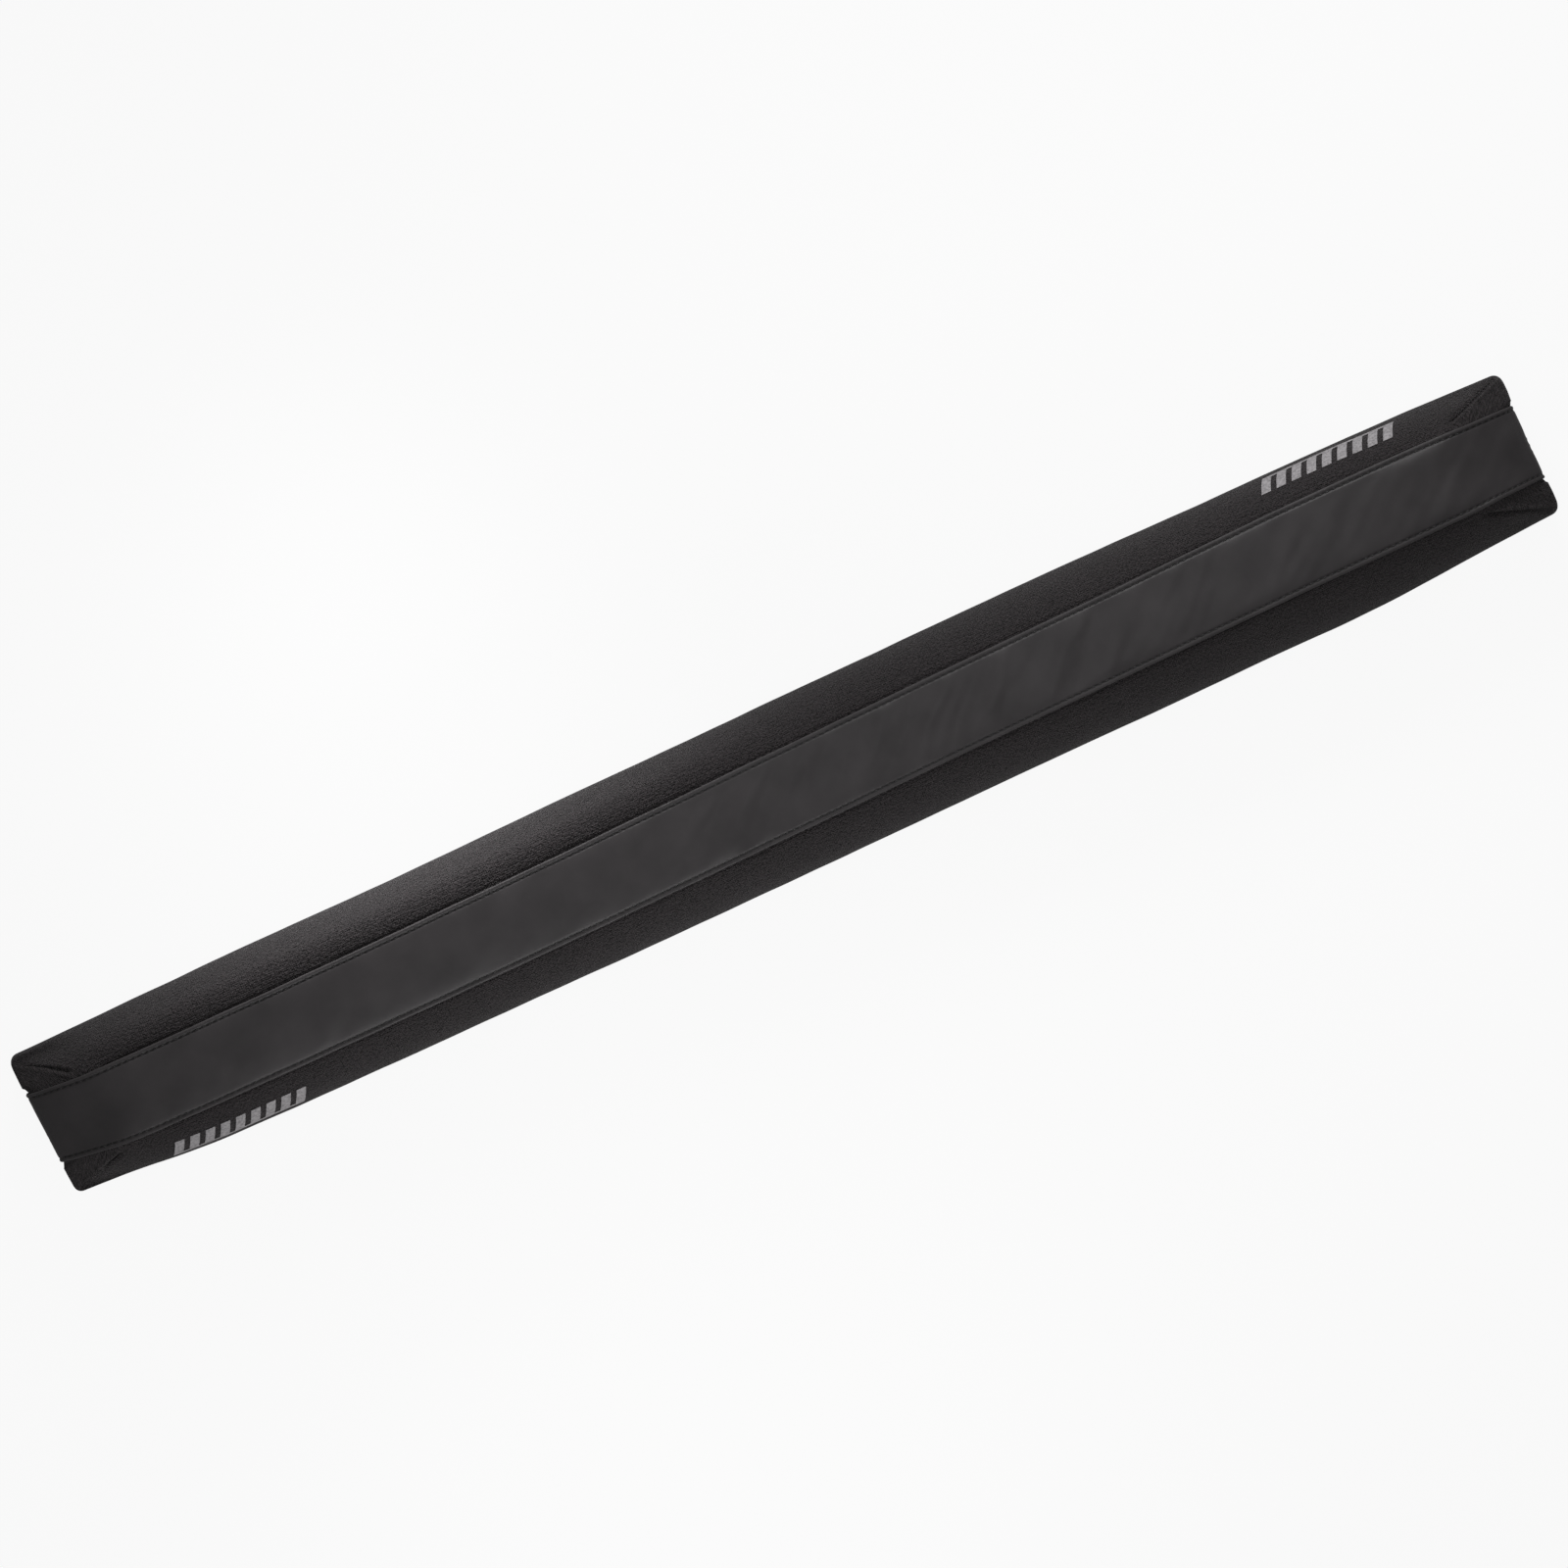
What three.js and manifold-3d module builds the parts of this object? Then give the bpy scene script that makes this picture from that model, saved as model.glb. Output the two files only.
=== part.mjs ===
// A roof rack pad: a long foam saddle in a sewn cover, which wraps round a roof bar and closes under it.
//
// Millimetres. X runs along the pad, Y across it and Z up. The origin is the middle of the underside.
// The saddle is an upside-down U of foam. Two woven side panels cover it from under the top strip,
// round the flanks and the ends, to the feet. A smooth wear strip is sewn over their upper edges and
// turns down over both ends. A liner faces the bar channel, and two flaps close the channel from below,
// one over the other, with a hook tape on one and a loop tape on the other.

import * as THREE from "three";
import { mergeVertices } from "three/addons/utils/BufferGeometryUtils.js";
import Module from "manifold-3d";

const wasm = await Module();
wasm.setup();

// Overall size
const LENGTH = 760; // end to end, over the wear strip
const WIDTH = 80; // across the woven cover at its widest
const HEIGHT = 57; // from the feet to the crown of the wear strip
const WAIST_HEIGHT = 20; // height at which the flanks are widest
const FOOT_WIDTH = 56; // across the flat undersides of both feet
const FLANK_SQUARENESS = 2.6; // exponent of the crown's superellipse; 2 is an ellipse

// Ends
const END_WIDTH = 71; // across the cover just before its corners
const END_SINK = 2.6; // how much lower the crown is there, before the nose
const TAPER_LENGTH = 100; // stretch over which the pad narrows and sinks
const NOSE_LENGTH = 55; // stretch over which the top falls away to the end
const NOSE_DROP = 16.5; // how far it falls
const NOSE_POWER = 2.2; // how late in the stretch it falls
const END_ROUNDING = 4; // radius from the nose down into the end wall
const HEEL_ROUNDING = 3; // radius from the end wall to the feet
const CORNER_ROUNDING = 6; // radius of the upright corners

// Cloth and foam
const PANEL_THICKNESS = 1.2; // woven side panel with its backing
const STRIP_THICKNESS = 1.4; // coated wear strip
const STRIP_WIDTH = 38;
const HEM_WIDTH = 2; // turned edge of the wear strip
const HEM_THICKNESS = 0.5; // what the turned edge adds
const LAP_WIDTH = 6; // width of side panel that lies under the wear strip
const LINER_THICKNESS = 0.8;
const SEAM_GAP = 0.3; // room between pieces that lie on each other

// Darts: sewn creases that run up from the corners along the hips, where nose and flank meet
const DART_SETBACK = 4; // from the cover's end to the dart's lower end
const DART_LENGTH = 23; // measured along the pad; the upper end stops short of the wear strip
const DART_WIDTH = 1.1; // measured across the pad
const DART_DEPTH = 0.5;

// Bar channel
const CHANNEL_WIDTH = 36;
const CHANNEL_HEIGHT = 23;

// Closure
const FLAP_THICKNESS = 1.2;
const TAPE_THICKNESS = 1.4;
const TAPE_WIDTH = 25;
const FLAP_RECESS = 0.8; // height of the lower flap above the ground
const FLAP_END_SETBACK = 8; // from the cover's end to the flap's end
const FLAP_CORNER_ROUNDING = 5;
const FLAP_OVERHANG = 2.5; // from the edge of a tape to the free edge of its flap
const TONGUE_HEIGHT = 8; // part of the flap sewn in between liner and foam
const TAPE_END_SETBACK = 6; // from the flap's end to the tape's end
const TAPE_OFFSET = 1; // how far the tapes lie behind the middle

// Printed marks
const MARK_THICKNESS = 0.3;
const MARK_LENGTH = 70;
const MARK_SETBACK = 51; // from the pad's end to the mark
const MARK_INSET = 3; // from the flank's widest line to the mark's lower edge, seen from above
const MARK_HEIGHT = 7.5; // seen from above
const MARK_BARS = 9;
const MARK_BAR_SHARE = 0.62; // width of a bar as a share of the pitch
const MARK_SLANT = 4; // how far a bar leans over its height
const MARK_RAIL = 1.6; // width of the line that joins the bars, seen from above

// Fineness of the faceted solids
const CROWN_STEPS = 28;
const CORNER_STEPS = 6;
const TAPER_STEPS = 7;
const NOSE_STEPS = 9;
const REACH = 20; // how far cutting blocks run past what they cut

// Heights and places that follow from the sizes above
const STRIP_RISE = SEAM_GAP + STRIP_THICKNESS; // the strip's top above the cover it lies on
const COVER_LENGTH = LENGTH - 2 * STRIP_RISE;
const COVER_HEIGHT = HEIGHT - STRIP_RISE;
const LOWER_FLAP_Z = FLAP_RECESS;
const HOOK_TAPE_Z = LOWER_FLAP_Z + FLAP_THICKNESS + SEAM_GAP;
const LOOP_TAPE_Z = HOOK_TAPE_Z + TAPE_THICKNESS + SEAM_GAP;
const UPPER_FLAP_Z = LOOP_TAPE_Z + TAPE_THICKNESS + SEAM_GAP;
const CHANNEL_FLOOR = UPPER_FLAP_Z + FLAP_THICKNESS;
const CHANNEL_CEILING = CHANNEL_FLOOR + CHANNEL_HEIGHT;
const LINER_OUTER_Y = CHANNEL_WIDTH / 2 + LINER_THICKNESS;
const SEAM_Y = LINER_OUTER_Y + SEAM_GAP; // inner face of the foam legs, where tongues and turn-ups lie
const SEAM_TOP = CHANNEL_CEILING + LINER_THICKNESS + SEAM_GAP;
const TONGUE_OUTER_Y = SEAM_Y + Math.max(FLAP_THICKNESS, PANEL_THICKNESS);
const TONGUE_TOP = UPPER_FLAP_Z + FLAP_THICKNESS + TONGUE_HEIGHT;
const TURN_UP_TOP = UPPER_FLAP_Z - SEAM_GAP;
const LAP_EDGE_Y = STRIP_WIDTH / 2 - LAP_WIDTH;
const MARK_BOTTOM = WIDTH / 2 - MARK_INSET;
const MARK_TOP = MARK_BOTTOM - MARK_HEIGHT;

const X_AXIS = new THREE.Vector3(1, 0, 0);
const Y_AXIS = new THREE.Vector3(0, 1, 0);
const Z_AXIS = new THREE.Vector3(0, 0, 1);
const ACROSS = new THREE.Matrix4().makeBasis(Y_AXIS, Z_AXIS, X_AXIS); // a (y, z) outline, extruded along X
const SIDEWAYS = new THREE.Matrix4().makeBasis(X_AXIS, Z_AXIS, Y_AXIS.clone().negate()); // (x, z), along -Y

// Closed three.js geometry to a solid, and back to geometry with flat faces
function solidFrom(geometry) {
  const bare = geometry.index ? geometry.toNonIndexed() : geometry.clone();
  bare.deleteAttribute("normal");
  bare.deleteAttribute("uv");
  const merged = mergeVertices(bare, 1e-4);
  return new wasm.Manifold(
    new wasm.Mesh({
      numProp: 3,
      vertProperties: merged.attributes.position.array,
      triVerts: new Uint32Array(merged.index.array),
    }),
  );
}

function geometryFrom(solid) {
  const mesh = solid.getMesh();
  const geometry = new THREE.BufferGeometry();
  geometry.setAttribute("position", new THREE.BufferAttribute(mesh.vertProperties, 3));
  geometry.setIndex(new THREE.BufferAttribute(mesh.triVerts, 1));
  const faceted = geometry.toNonIndexed();
  faceted.computeVertexNormals();
  return faceted;
}

function point(x, y) {
  return new THREE.Vector2(x, y);
}

// A counterclockwise outline moved inwards by inset, or outwards where inset is negative
function insetOutline(points, inset) {
  return points.map((here, i) => {
    const before = points[(i + points.length - 1) % points.length];
    const after = points[(i + 1) % points.length];
    const [inNormal, outNormal] = [
      [before, here],
      [here, after],
    ].map(([from, to]) => point(to.y - from.y, from.x - to.x).normalize());
    const mitre = inNormal.clone().add(outNormal).normalize();
    return here.clone().addScaledVector(mitre, -inset / mitre.dot(inNormal));
  });
}

function arc(cx, cy, radius, from, to, steps = CORNER_STEPS) {
  const points = [];
  for (let i = 0; i <= steps; i++) {
    const angle = from + ((to - from) * i) / steps;
    points.push(point(cx + radius * Math.cos(angle), cy + radius * Math.sin(angle)));
  }
  return points;
}

function block(x0, x1, y0, y1, z0, z1) {
  const box = new THREE.BoxGeometry(x1 - x0, y1 - y0, z1 - z0);
  box.translate((x0 + x1) / 2, (y0 + y1) / 2, (z0 + z1) / 2);
  return solidFrom(box);
}

// A (y, z) outline run along X, centred on the middle of the pad
function runAlong(points, length) {
  const geometry = new THREE.ExtrudeGeometry(new THREE.Shape(points), {
    depth: length,
    bevelEnabled: false,
  });
  geometry.translate(0, 0, -length / 2);
  return solidFrom(geometry.applyMatrix4(ACROSS));
}

// The padded body, which every cover piece is an offset of

// Half the cross-section's outline is a superellipse over the waist and a quarter ellipse under it.
function sectionOutline() {
  const waist = WIDTH / 2;
  const foot = FOOT_WIDTH / 2;
  const points = [];
  for (let i = 0; i <= CORNER_STEPS; i++) {
    const angle = (-Math.PI / 2) * (1 - i / CORNER_STEPS);
    const y = foot + (waist - foot) * Math.cos(angle);
    points.push(point(y, WAIST_HEIGHT * (1 + Math.sin(angle))));
  }
  const power = 2 / FLANK_SQUARENESS;
  for (let i = 1; i < CROWN_STEPS; i++) {
    const angle = (Math.PI * i) / CROWN_STEPS;
    const y = waist * Math.sign(Math.cos(angle)) * Math.abs(Math.cos(angle)) ** power;
    points.push(point(y, WAIST_HEIGHT + (COVER_HEIGHT - WAIST_HEIGHT) * Math.sin(angle) ** power));
  }
  for (let i = 0; i <= CORNER_STEPS; i++) {
    const angle = (-Math.PI / 2) * (i / CORNER_STEPS);
    const y = foot + (waist - foot) * Math.cos(angle);
    points.push(point(-y, WAIST_HEIGHT * (1 + Math.sin(angle))));
  }
  return points;
}

// 0 in the long middle, rising smoothly to 1 at the cover's ends
function taperAt(x) {
  const into = THREE.MathUtils.clamp((Math.abs(x) - COVER_LENGTH / 2) / TAPER_LENGTH + 1, 0, 1);
  return THREE.MathUtils.smoothstep(into, 0, 1);
}

function crownAt(x) {
  return COVER_HEIGHT - END_SINK * taperAt(x);
}

function noseAt(x) {
  const into = (Math.abs(x) - COVER_LENGTH / 2) / NOSE_LENGTH + 1;
  return crownAt(x) - NOSE_DROP * Math.max(into, 0) ** NOSE_POWER;
}

// How far from the middle the nose runs out into the flank at x
function hipAt(x) {
  const scale = COVER_HEIGHT / crownAt(x);
  const rise = (noseAt(x) * scale - WAIST_HEIGHT) / (COVER_HEIGHT - WAIST_HEIGHT);
  const halfWidth = (WIDTH - (WIDTH - END_WIDTH) * taperAt(x)) / 2;
  return halfWidth * (1 - rise ** FLANK_SQUARENESS) ** (1 / FLANK_SQUARENESS);
}

// Stations along the loaf: close together where it narrows and where its corners round off
function stationsTo(halfLength, cornerRadius) {
  const half = [];
  for (let i = 0; i <= TAPER_STEPS; i++) {
    half.push(COVER_LENGTH / 2 - TAPER_LENGTH + ((TAPER_LENGTH - CORNER_ROUNDING) * i) / TAPER_STEPS);
  }
  for (let i = 1; i <= CORNER_STEPS; i++) {
    const angle = (Math.PI / 2) * (i / CORNER_STEPS);
    half.push(halfLength - cornerRadius * (1 - Math.sin(angle)));
  }
  return [...half.map((x) => -x).reverse(), ...half];
}

// The long loaf: the section run along X, narrowing to the ends, with its upright corners rounded
function loaf(inset) {
  const radius = CORNER_ROUNDING - inset;
  const stations = stationsTo(COVER_LENGTH / 2 - inset, radius);
  const steps = stations.length - 1;
  const outline = insetOutline(sectionOutline(), inset);
  const geometry = new THREE.ExtrudeGeometry(new THREE.Shape(outline), {
    depth: steps,
    steps,
    bevelEnabled: false,
  });
  geometry.applyMatrix4(ACROSS);
  const position = geometry.getAttribute("position");
  for (let i = 0; i < position.count; i++) {
    const x = stations[Math.round(position.getX(i))];
    const past = Math.max(Math.abs(x) - (COVER_LENGTH / 2 - CORNER_ROUNDING), 0);
    const rounding = radius - Math.sqrt(Math.max(radius * radius - past * past, 0));
    const narrowing = ((WIDTH - END_WIDTH) / 2) * taperAt(x) + rounding;
    const y = position.getY(i) * (1 - narrowing / (WIDTH / 2));
    position.setXYZ(i, x, y, position.getZ(i) * (crownAt(x) / COVER_HEIGHT));
  }
  return solidFrom(geometry);
}

// How steeply the nose falls at x
function noseSlopeAt(x) {
  const into = (Math.abs(x) - COVER_LENGTH / 2) / NOSE_LENGTH + 1;
  return ((NOSE_DROP * NOSE_POWER) / NOSE_LENGTH) * Math.max(into, 0) ** (NOSE_POWER - 1);
}

// The side view that trims the loaf: heels, end walls, rounded ends and noses
function sideView(inset) {
  const end = COVER_LENGTH / 2;
  let joint = end; // where the nose meets the round into the end wall, found by repetition
  for (let i = 0; i < CORNER_STEPS; i++) {
    joint = end - END_ROUNDING * (1 - Math.sin(Math.atan(noseSlopeAt(joint))));
  }
  const slope = Math.atan(noseSlopeAt(joint));
  const centreZ = noseAt(joint) - END_ROUNDING * Math.cos(slope);
  const half = [
    ...arc(end - HEEL_ROUNDING, HEEL_ROUNDING, HEEL_ROUNDING, -Math.PI / 2, 0),
    ...arc(end - END_ROUNDING, centreZ, END_ROUNDING, 0, Math.PI / 2 - slope),
  ];
  for (let i = 1; i <= NOSE_STEPS; i++) {
    const x = joint + ((end - NOSE_LENGTH - joint) * i) / NOSE_STEPS;
    half.push(point(x, noseAt(x)));
  }
  half.push(point(end - NOSE_LENGTH, COVER_HEIGHT + REACH));
  const outline = [...half, ...half.map((p) => point(-p.x, p.y)).reverse()];
  const geometry = new THREE.ExtrudeGeometry(new THREE.Shape(insetOutline(outline, inset)), {
    depth: WIDTH + 2 * REACH,
    bevelEnabled: false,
  });
  geometry.translate(0, 0, -WIDTH / 2 - REACH);
  return solidFrom(geometry.applyMatrix4(SIDEWAYS));
}

function paddedBody(inset) {
  return loaf(inset).intersect(sideView(inset));
}

// A block over the bar channel, full length, with so much clearance past its faces
function channelBlock(outerY, top) {
  return block(-LENGTH, LENGTH, -outerY, outerY, -REACH, top);
}

// Pieces

function foamCore() {
  const bedding = PANEL_THICKNESS + SEAM_GAP;
  const crownY = LAP_EDGE_Y - SEAM_GAP; // between the two laps the foam swells up to the strip
  const crown = paddedBody(0).intersect(
    block(-LENGTH, LENGTH, -crownY, crownY, WAIST_HEIGHT, HEIGHT + REACH),
  );
  return paddedBody(bedding)
    .add(crown)
    .subtract(channelBlock(SEAM_Y, SEAM_TOP))
    .subtract(channelBlock(TONGUE_OUTER_Y + SEAM_GAP, TONGUE_TOP + SEAM_GAP));
}

// A plan, seen from above, raised to a prism that runs from the waist past the crown
function raisePlan(outline) {
  const plan = new THREE.ExtrudeGeometry(new THREE.Shape(outline), {
    depth: HEIGHT,
    bevelEnabled: false,
  });
  plan.translate(0, 0, WAIST_HEIGHT);
  return solidFrom(plan);
}

// The groove of one dart on the front side; end is 1 at the right end and -1 at the left
function dart(end) {
  const lower = COVER_LENGTH / 2 - DART_SETBACK;
  const nearEdge = [];
  const farEdge = [];
  for (let i = 0; i <= CORNER_STEPS; i++) {
    const x = lower - (DART_LENGTH * i) / CORNER_STEPS;
    nearEdge.push(point(end * x, -hipAt(x) - DART_WIDTH / 2));
    farEdge.unshift(point(end * x, -hipAt(x) + DART_WIDTH / 2));
  }
  const outline = [...nearEdge, ...farEdge];
  return raisePlan(outline).subtract(paddedBody(DART_DEPTH));
}

// One side panel, on the front side: flank, both ends, foot and the turn-up inside the foot
function sidePanel() {
  const shell = paddedBody(0).subtract(paddedBody(PANEL_THICKNESS));
  const outside = block(-LENGTH, LENGTH, -WIDTH, -LAP_EDGE_Y, -REACH, HEIGHT + REACH);
  const footEnd = COVER_LENGTH / 2 - CORNER_ROUNDING;
  const turnUp = block(-footEnd, footEnd, -SEAM_Y - PANEL_THICKNESS, -SEAM_Y, 0, TURN_UP_TOP);
  return shell
    .intersect(outside)
    .subtract(channelBlock(SEAM_Y, SEAM_TOP))
    .add(turnUp)
    .subtract(dart(-1))
    .subtract(dart(1));
}

function wearStrip() {
  const half = STRIP_WIDTH / 2;
  const band = block(-LENGTH, LENGTH, -half, half, CHANNEL_CEILING, HEIGHT + REACH);
  const sheet = paddedBody(-STRIP_RISE).subtract(paddedBody(-SEAM_GAP)).intersect(band);
  const flat = block(-LENGTH, LENGTH, HEM_WIDTH - half, half - HEM_WIDTH, 0, HEIGHT + REACH);
  const hems = paddedBody(-STRIP_RISE - HEM_THICKNESS)
    .subtract(paddedBody(-STRIP_RISE + HEM_THICKNESS))
    .intersect(block(-LENGTH / 2, LENGTH / 2, -half, half, CHANNEL_CEILING, HEIGHT + REACH))
    .subtract(flat);
  return sheet.add(hems);
}

function channelLiner() {
  const inner = CHANNEL_WIDTH / 2;
  const bottom = CHANNEL_FLOOR + SEAM_GAP;
  const top = CHANNEL_CEILING + LINER_THICKNESS;
  return runAlong(
    [
      point(-LINER_OUTER_Y, bottom),
      point(-inner, bottom),
      point(-inner, CHANNEL_CEILING),
      point(inner, CHANNEL_CEILING),
      point(inner, bottom),
      point(LINER_OUTER_Y, bottom),
      point(LINER_OUTER_Y, top),
      point(-LINER_OUTER_Y, top),
    ],
    COVER_LENGTH,
  );
}

// A flap trimmed in plan: rounded corners on its free edge, and its root left square
function trimFlap(solid, freeEdge) {
  const end = COVER_LENGTH / 2 - FLAP_END_SETBACK;
  const radius = FLAP_CORNER_ROUNDING;
  const outline = [
    point(-end, -WIDTH),
    point(end, -WIDTH),
    ...arc(end - radius, freeEdge - radius, radius, 0, Math.PI / 2),
    ...arc(radius - end, freeEdge - radius, radius, Math.PI / 2, Math.PI),
  ];
  const plan = new THREE.ExtrudeGeometry(new THREE.Shape(outline), {
    depth: HEIGHT,
    bevelEnabled: false,
  });
  return solid.intersect(solidFrom(plan));
}

// The front flap: sewn in beside the liner, dipping under the rear flap and carrying the hook tape
function lowerFlap() {
  const freeEdge = TAPE_OFFSET + TAPE_WIDTH / 2 + FLAP_OVERHANG;
  const dipEnd = TAPE_OFFSET - TAPE_WIDTH / 2 - SEAM_GAP;
  const dipStart = -CHANNEL_WIDTH / 2 + FLAP_THICKNESS;
  const profile = [
    point(-SEAM_Y - FLAP_THICKNESS, UPPER_FLAP_Z),
    point(dipStart - FLAP_THICKNESS, UPPER_FLAP_Z),
    point(dipEnd - FLAP_THICKNESS / 2, LOWER_FLAP_Z),
    point(freeEdge, LOWER_FLAP_Z),
    point(freeEdge, LOWER_FLAP_Z + FLAP_THICKNESS),
    point(dipEnd, LOWER_FLAP_Z + FLAP_THICKNESS),
    point(dipStart, CHANNEL_FLOOR),
    point(-SEAM_Y, CHANNEL_FLOOR),
    point(-SEAM_Y, TONGUE_TOP),
    point(-SEAM_Y - FLAP_THICKNESS, TONGUE_TOP),
  ];
  return trimFlap(runAlong(profile, LENGTH), freeEdge);
}

// The rear flap, drawn on the front side: flat over the channel, with the loop tape under it
function upperFlap() {
  const freeEdge = TAPE_WIDTH / 2 - TAPE_OFFSET + FLAP_OVERHANG / 2;
  const profile = [
    point(-SEAM_Y - FLAP_THICKNESS, UPPER_FLAP_Z),
    point(freeEdge, UPPER_FLAP_Z),
    point(freeEdge, CHANNEL_FLOOR),
    point(-SEAM_Y, CHANNEL_FLOOR),
    point(-SEAM_Y, TONGUE_TOP),
    point(-SEAM_Y - FLAP_THICKNESS, TONGUE_TOP),
  ];
  return trimFlap(runAlong(profile, LENGTH), freeEdge);
}

function tape(bottom) {
  const end = COVER_LENGTH / 2 - FLAP_END_SETBACK - TAPE_END_SETBACK;
  const [near, far] = [TAPE_OFFSET - TAPE_WIDTH / 2, TAPE_OFFSET + TAPE_WIDTH / 2];
  return block(-end, end, near, far, bottom, bottom + TAPE_THICKNESS);
}

// A printed mark on the front flank near the left end: slanted bars that stand on one line
function printedMark() {
  const left = -LENGTH / 2 + MARK_SETBACK;
  const pitch = (MARK_LENGTH - MARK_SLANT) / (MARK_BARS - 1 + MARK_BAR_SHARE);
  const railTop = -MARK_BOTTOM + MARK_RAIL;
  const slantAt = (y) => (MARK_SLANT * (y + MARK_BOTTOM)) / (MARK_BOTTOM - MARK_TOP);
  const outline = [point(left, -MARK_BOTTOM)];
  const lastBar = left + pitch * (MARK_BARS - 1 + MARK_BAR_SHARE);
  outline.push(point(lastBar, -MARK_BOTTOM), point(lastBar + MARK_SLANT, -MARK_TOP));
  for (let i = MARK_BARS - 1; i >= 0; i--) {
    const barLeft = left + pitch * i;
    outline.push(point(barLeft + MARK_SLANT, -MARK_TOP));
    if (i > 0) {
      const barBefore = barLeft - pitch * (1 - MARK_BAR_SHARE);
      outline.push(
        point(barLeft + slantAt(railTop), railTop),
        point(barBefore + slantAt(railTop), railTop),
        point(barBefore + MARK_SLANT, -MARK_TOP),
      );
    }
  }
  return paddedBody(-SEAM_GAP - MARK_THICKNESS)
    .subtract(paddedBody(-SEAM_GAP))
    .intersect(raisePlan(outline));
}

// Finishes
const wovenCloth = new THREE.MeshStandardMaterial({ color: 0x2f2c2d, roughness: 0.85 });
const coatedCloth = new THREE.MeshStandardMaterial({ color: 0x3c3a3b, roughness: 0.55 });
const linerCloth = new THREE.MeshStandardMaterial({ color: 0x262526, roughness: 0.9 });
const closedCellFoam = new THREE.MeshStandardMaterial({ color: 0x3a3a3c, roughness: 0.95 });
const hookNylon = new THREE.MeshStandardMaterial({ color: 0x1c1c1d, roughness: 0.7 });
const loopNylon = new THREE.MeshStandardMaterial({ color: 0x222223, roughness: 1 });
const greyInk = new THREE.MeshStandardMaterial({ color: 0xb4b0b1, roughness: 0.6 });

// Assembly
const pad = new THREE.Group();

function addPiece(name, solid, material, turned = false) {
  const mesh = new THREE.Mesh(geometryFrom(solid), material);
  mesh.name = name;
  if (turned) {
    mesh.rotation.z = Math.PI;
  }
  pad.add(mesh);
}

addPiece("foam_core", foamCore(), closedCellFoam);
addPiece("side_panel_front", sidePanel(), wovenCloth);
addPiece("side_panel_rear", sidePanel(), wovenCloth, true);
addPiece("wear_strip", wearStrip(), coatedCloth);
addPiece("channel_liner", channelLiner(), linerCloth);
addPiece("closure_flap_front", lowerFlap(), linerCloth);
addPiece("closure_flap_rear", upperFlap(), linerCloth, true);
addPiece("hook_tape", tape(HOOK_TAPE_Z), hookNylon);
addPiece("loop_tape", tape(LOOP_TAPE_Z), loopNylon);
addPiece("print_front", printedMark(), greyInk);
addPiece("print_rear", printedMark(), greyInk, true);

export default pad;
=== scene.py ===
# A roof rack pad, dressed: a foam saddle in a sewn cover with a smooth strip on top.
# Metres throughout, in the frame of the solids: X along the pad, Y across it and Z up.

import math

import bpy
import numpy as np
from mathutils import Matrix, Vector, noise


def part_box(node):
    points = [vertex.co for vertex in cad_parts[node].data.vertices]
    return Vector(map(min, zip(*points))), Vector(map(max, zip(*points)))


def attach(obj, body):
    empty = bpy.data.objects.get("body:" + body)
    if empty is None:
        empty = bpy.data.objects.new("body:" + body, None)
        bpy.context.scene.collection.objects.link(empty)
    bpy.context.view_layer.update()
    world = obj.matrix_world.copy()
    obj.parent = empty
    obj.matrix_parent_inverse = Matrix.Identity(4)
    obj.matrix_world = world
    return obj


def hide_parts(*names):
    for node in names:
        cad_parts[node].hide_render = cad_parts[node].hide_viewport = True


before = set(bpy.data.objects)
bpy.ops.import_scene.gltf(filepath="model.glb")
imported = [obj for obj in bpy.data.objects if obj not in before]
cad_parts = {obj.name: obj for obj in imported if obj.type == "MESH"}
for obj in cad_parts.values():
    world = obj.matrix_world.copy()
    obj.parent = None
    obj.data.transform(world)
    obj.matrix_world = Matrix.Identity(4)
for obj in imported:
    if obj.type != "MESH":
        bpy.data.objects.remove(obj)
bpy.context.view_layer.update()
bpy.ops.object.select_all(action="DESELECT")


# The studio: a pale floor, an even sky, a softbox overhead, two lamps behind the pad and one before it.
# The camera looks straight down through a long lens, and the pad lies turned in its view.
PAD_TURN = math.radians(24.64)
VIEW_WIDTH = 0.726
VIEW_CENTRE = (-0.0006, 0.0021)
LENS = 200.0
SENSOR = 36.0
SILHOUETTE_HEIGHT = 0.025
camera_height = SILHOUETTE_HEIGHT + VIEW_WIDTH * LENS / SENSOR
bpy.ops.object.camera_add(location=(*VIEW_CENTRE, camera_height), rotation=(0, 0, -PAD_TURN))
camera = bpy.context.object
camera.data.lens = LENS
camera.data.sensor_width = SENSOR
camera.data.clip_end = 20
bpy.context.scene.camera = camera
bpy.context.scene.view_settings.view_transform = "Standard"


def new_material(name, colour, roughness, specular=0.5):
    material = bpy.data.materials.new(name)
    material.use_nodes = True
    shader = material.node_tree.nodes["Principled BSDF"]
    shader.inputs["Base Color"].default_value = (*colour, 1)
    shader.inputs["Roughness"].default_value = roughness
    shader.inputs["Specular IOR Level"].default_value = specular
    return material, shader


def add_node(material, kind, **inputs):
    """A node whose inputs are set to values, or linked where a socket is given."""
    node = material.node_tree.nodes.new(kind)
    for key, value in inputs.items():
        socket = node.inputs[int(key[1:]) if key[1:].isdigit() else key.replace("_", " ")]
        if isinstance(value, bpy.types.NodeSocket):
            material.node_tree.links.new(value, socket)
        else:
            socket.default_value = value
    return node


def math_node(material, operation, first, second=0.0, third=0.0):
    node = add_node(material, "ShaderNodeMath", i0=first, i1=second, i2=third)
    node.operation = operation
    return node.outputs[0]


def vector_node(material, operation, **inputs):
    node = add_node(material, "ShaderNodeVectorMath", **inputs)
    node.operation = operation
    return node.outputs[0]


def link(material, socket, target):
    material.node_tree.links.new(socket, target)


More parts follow.
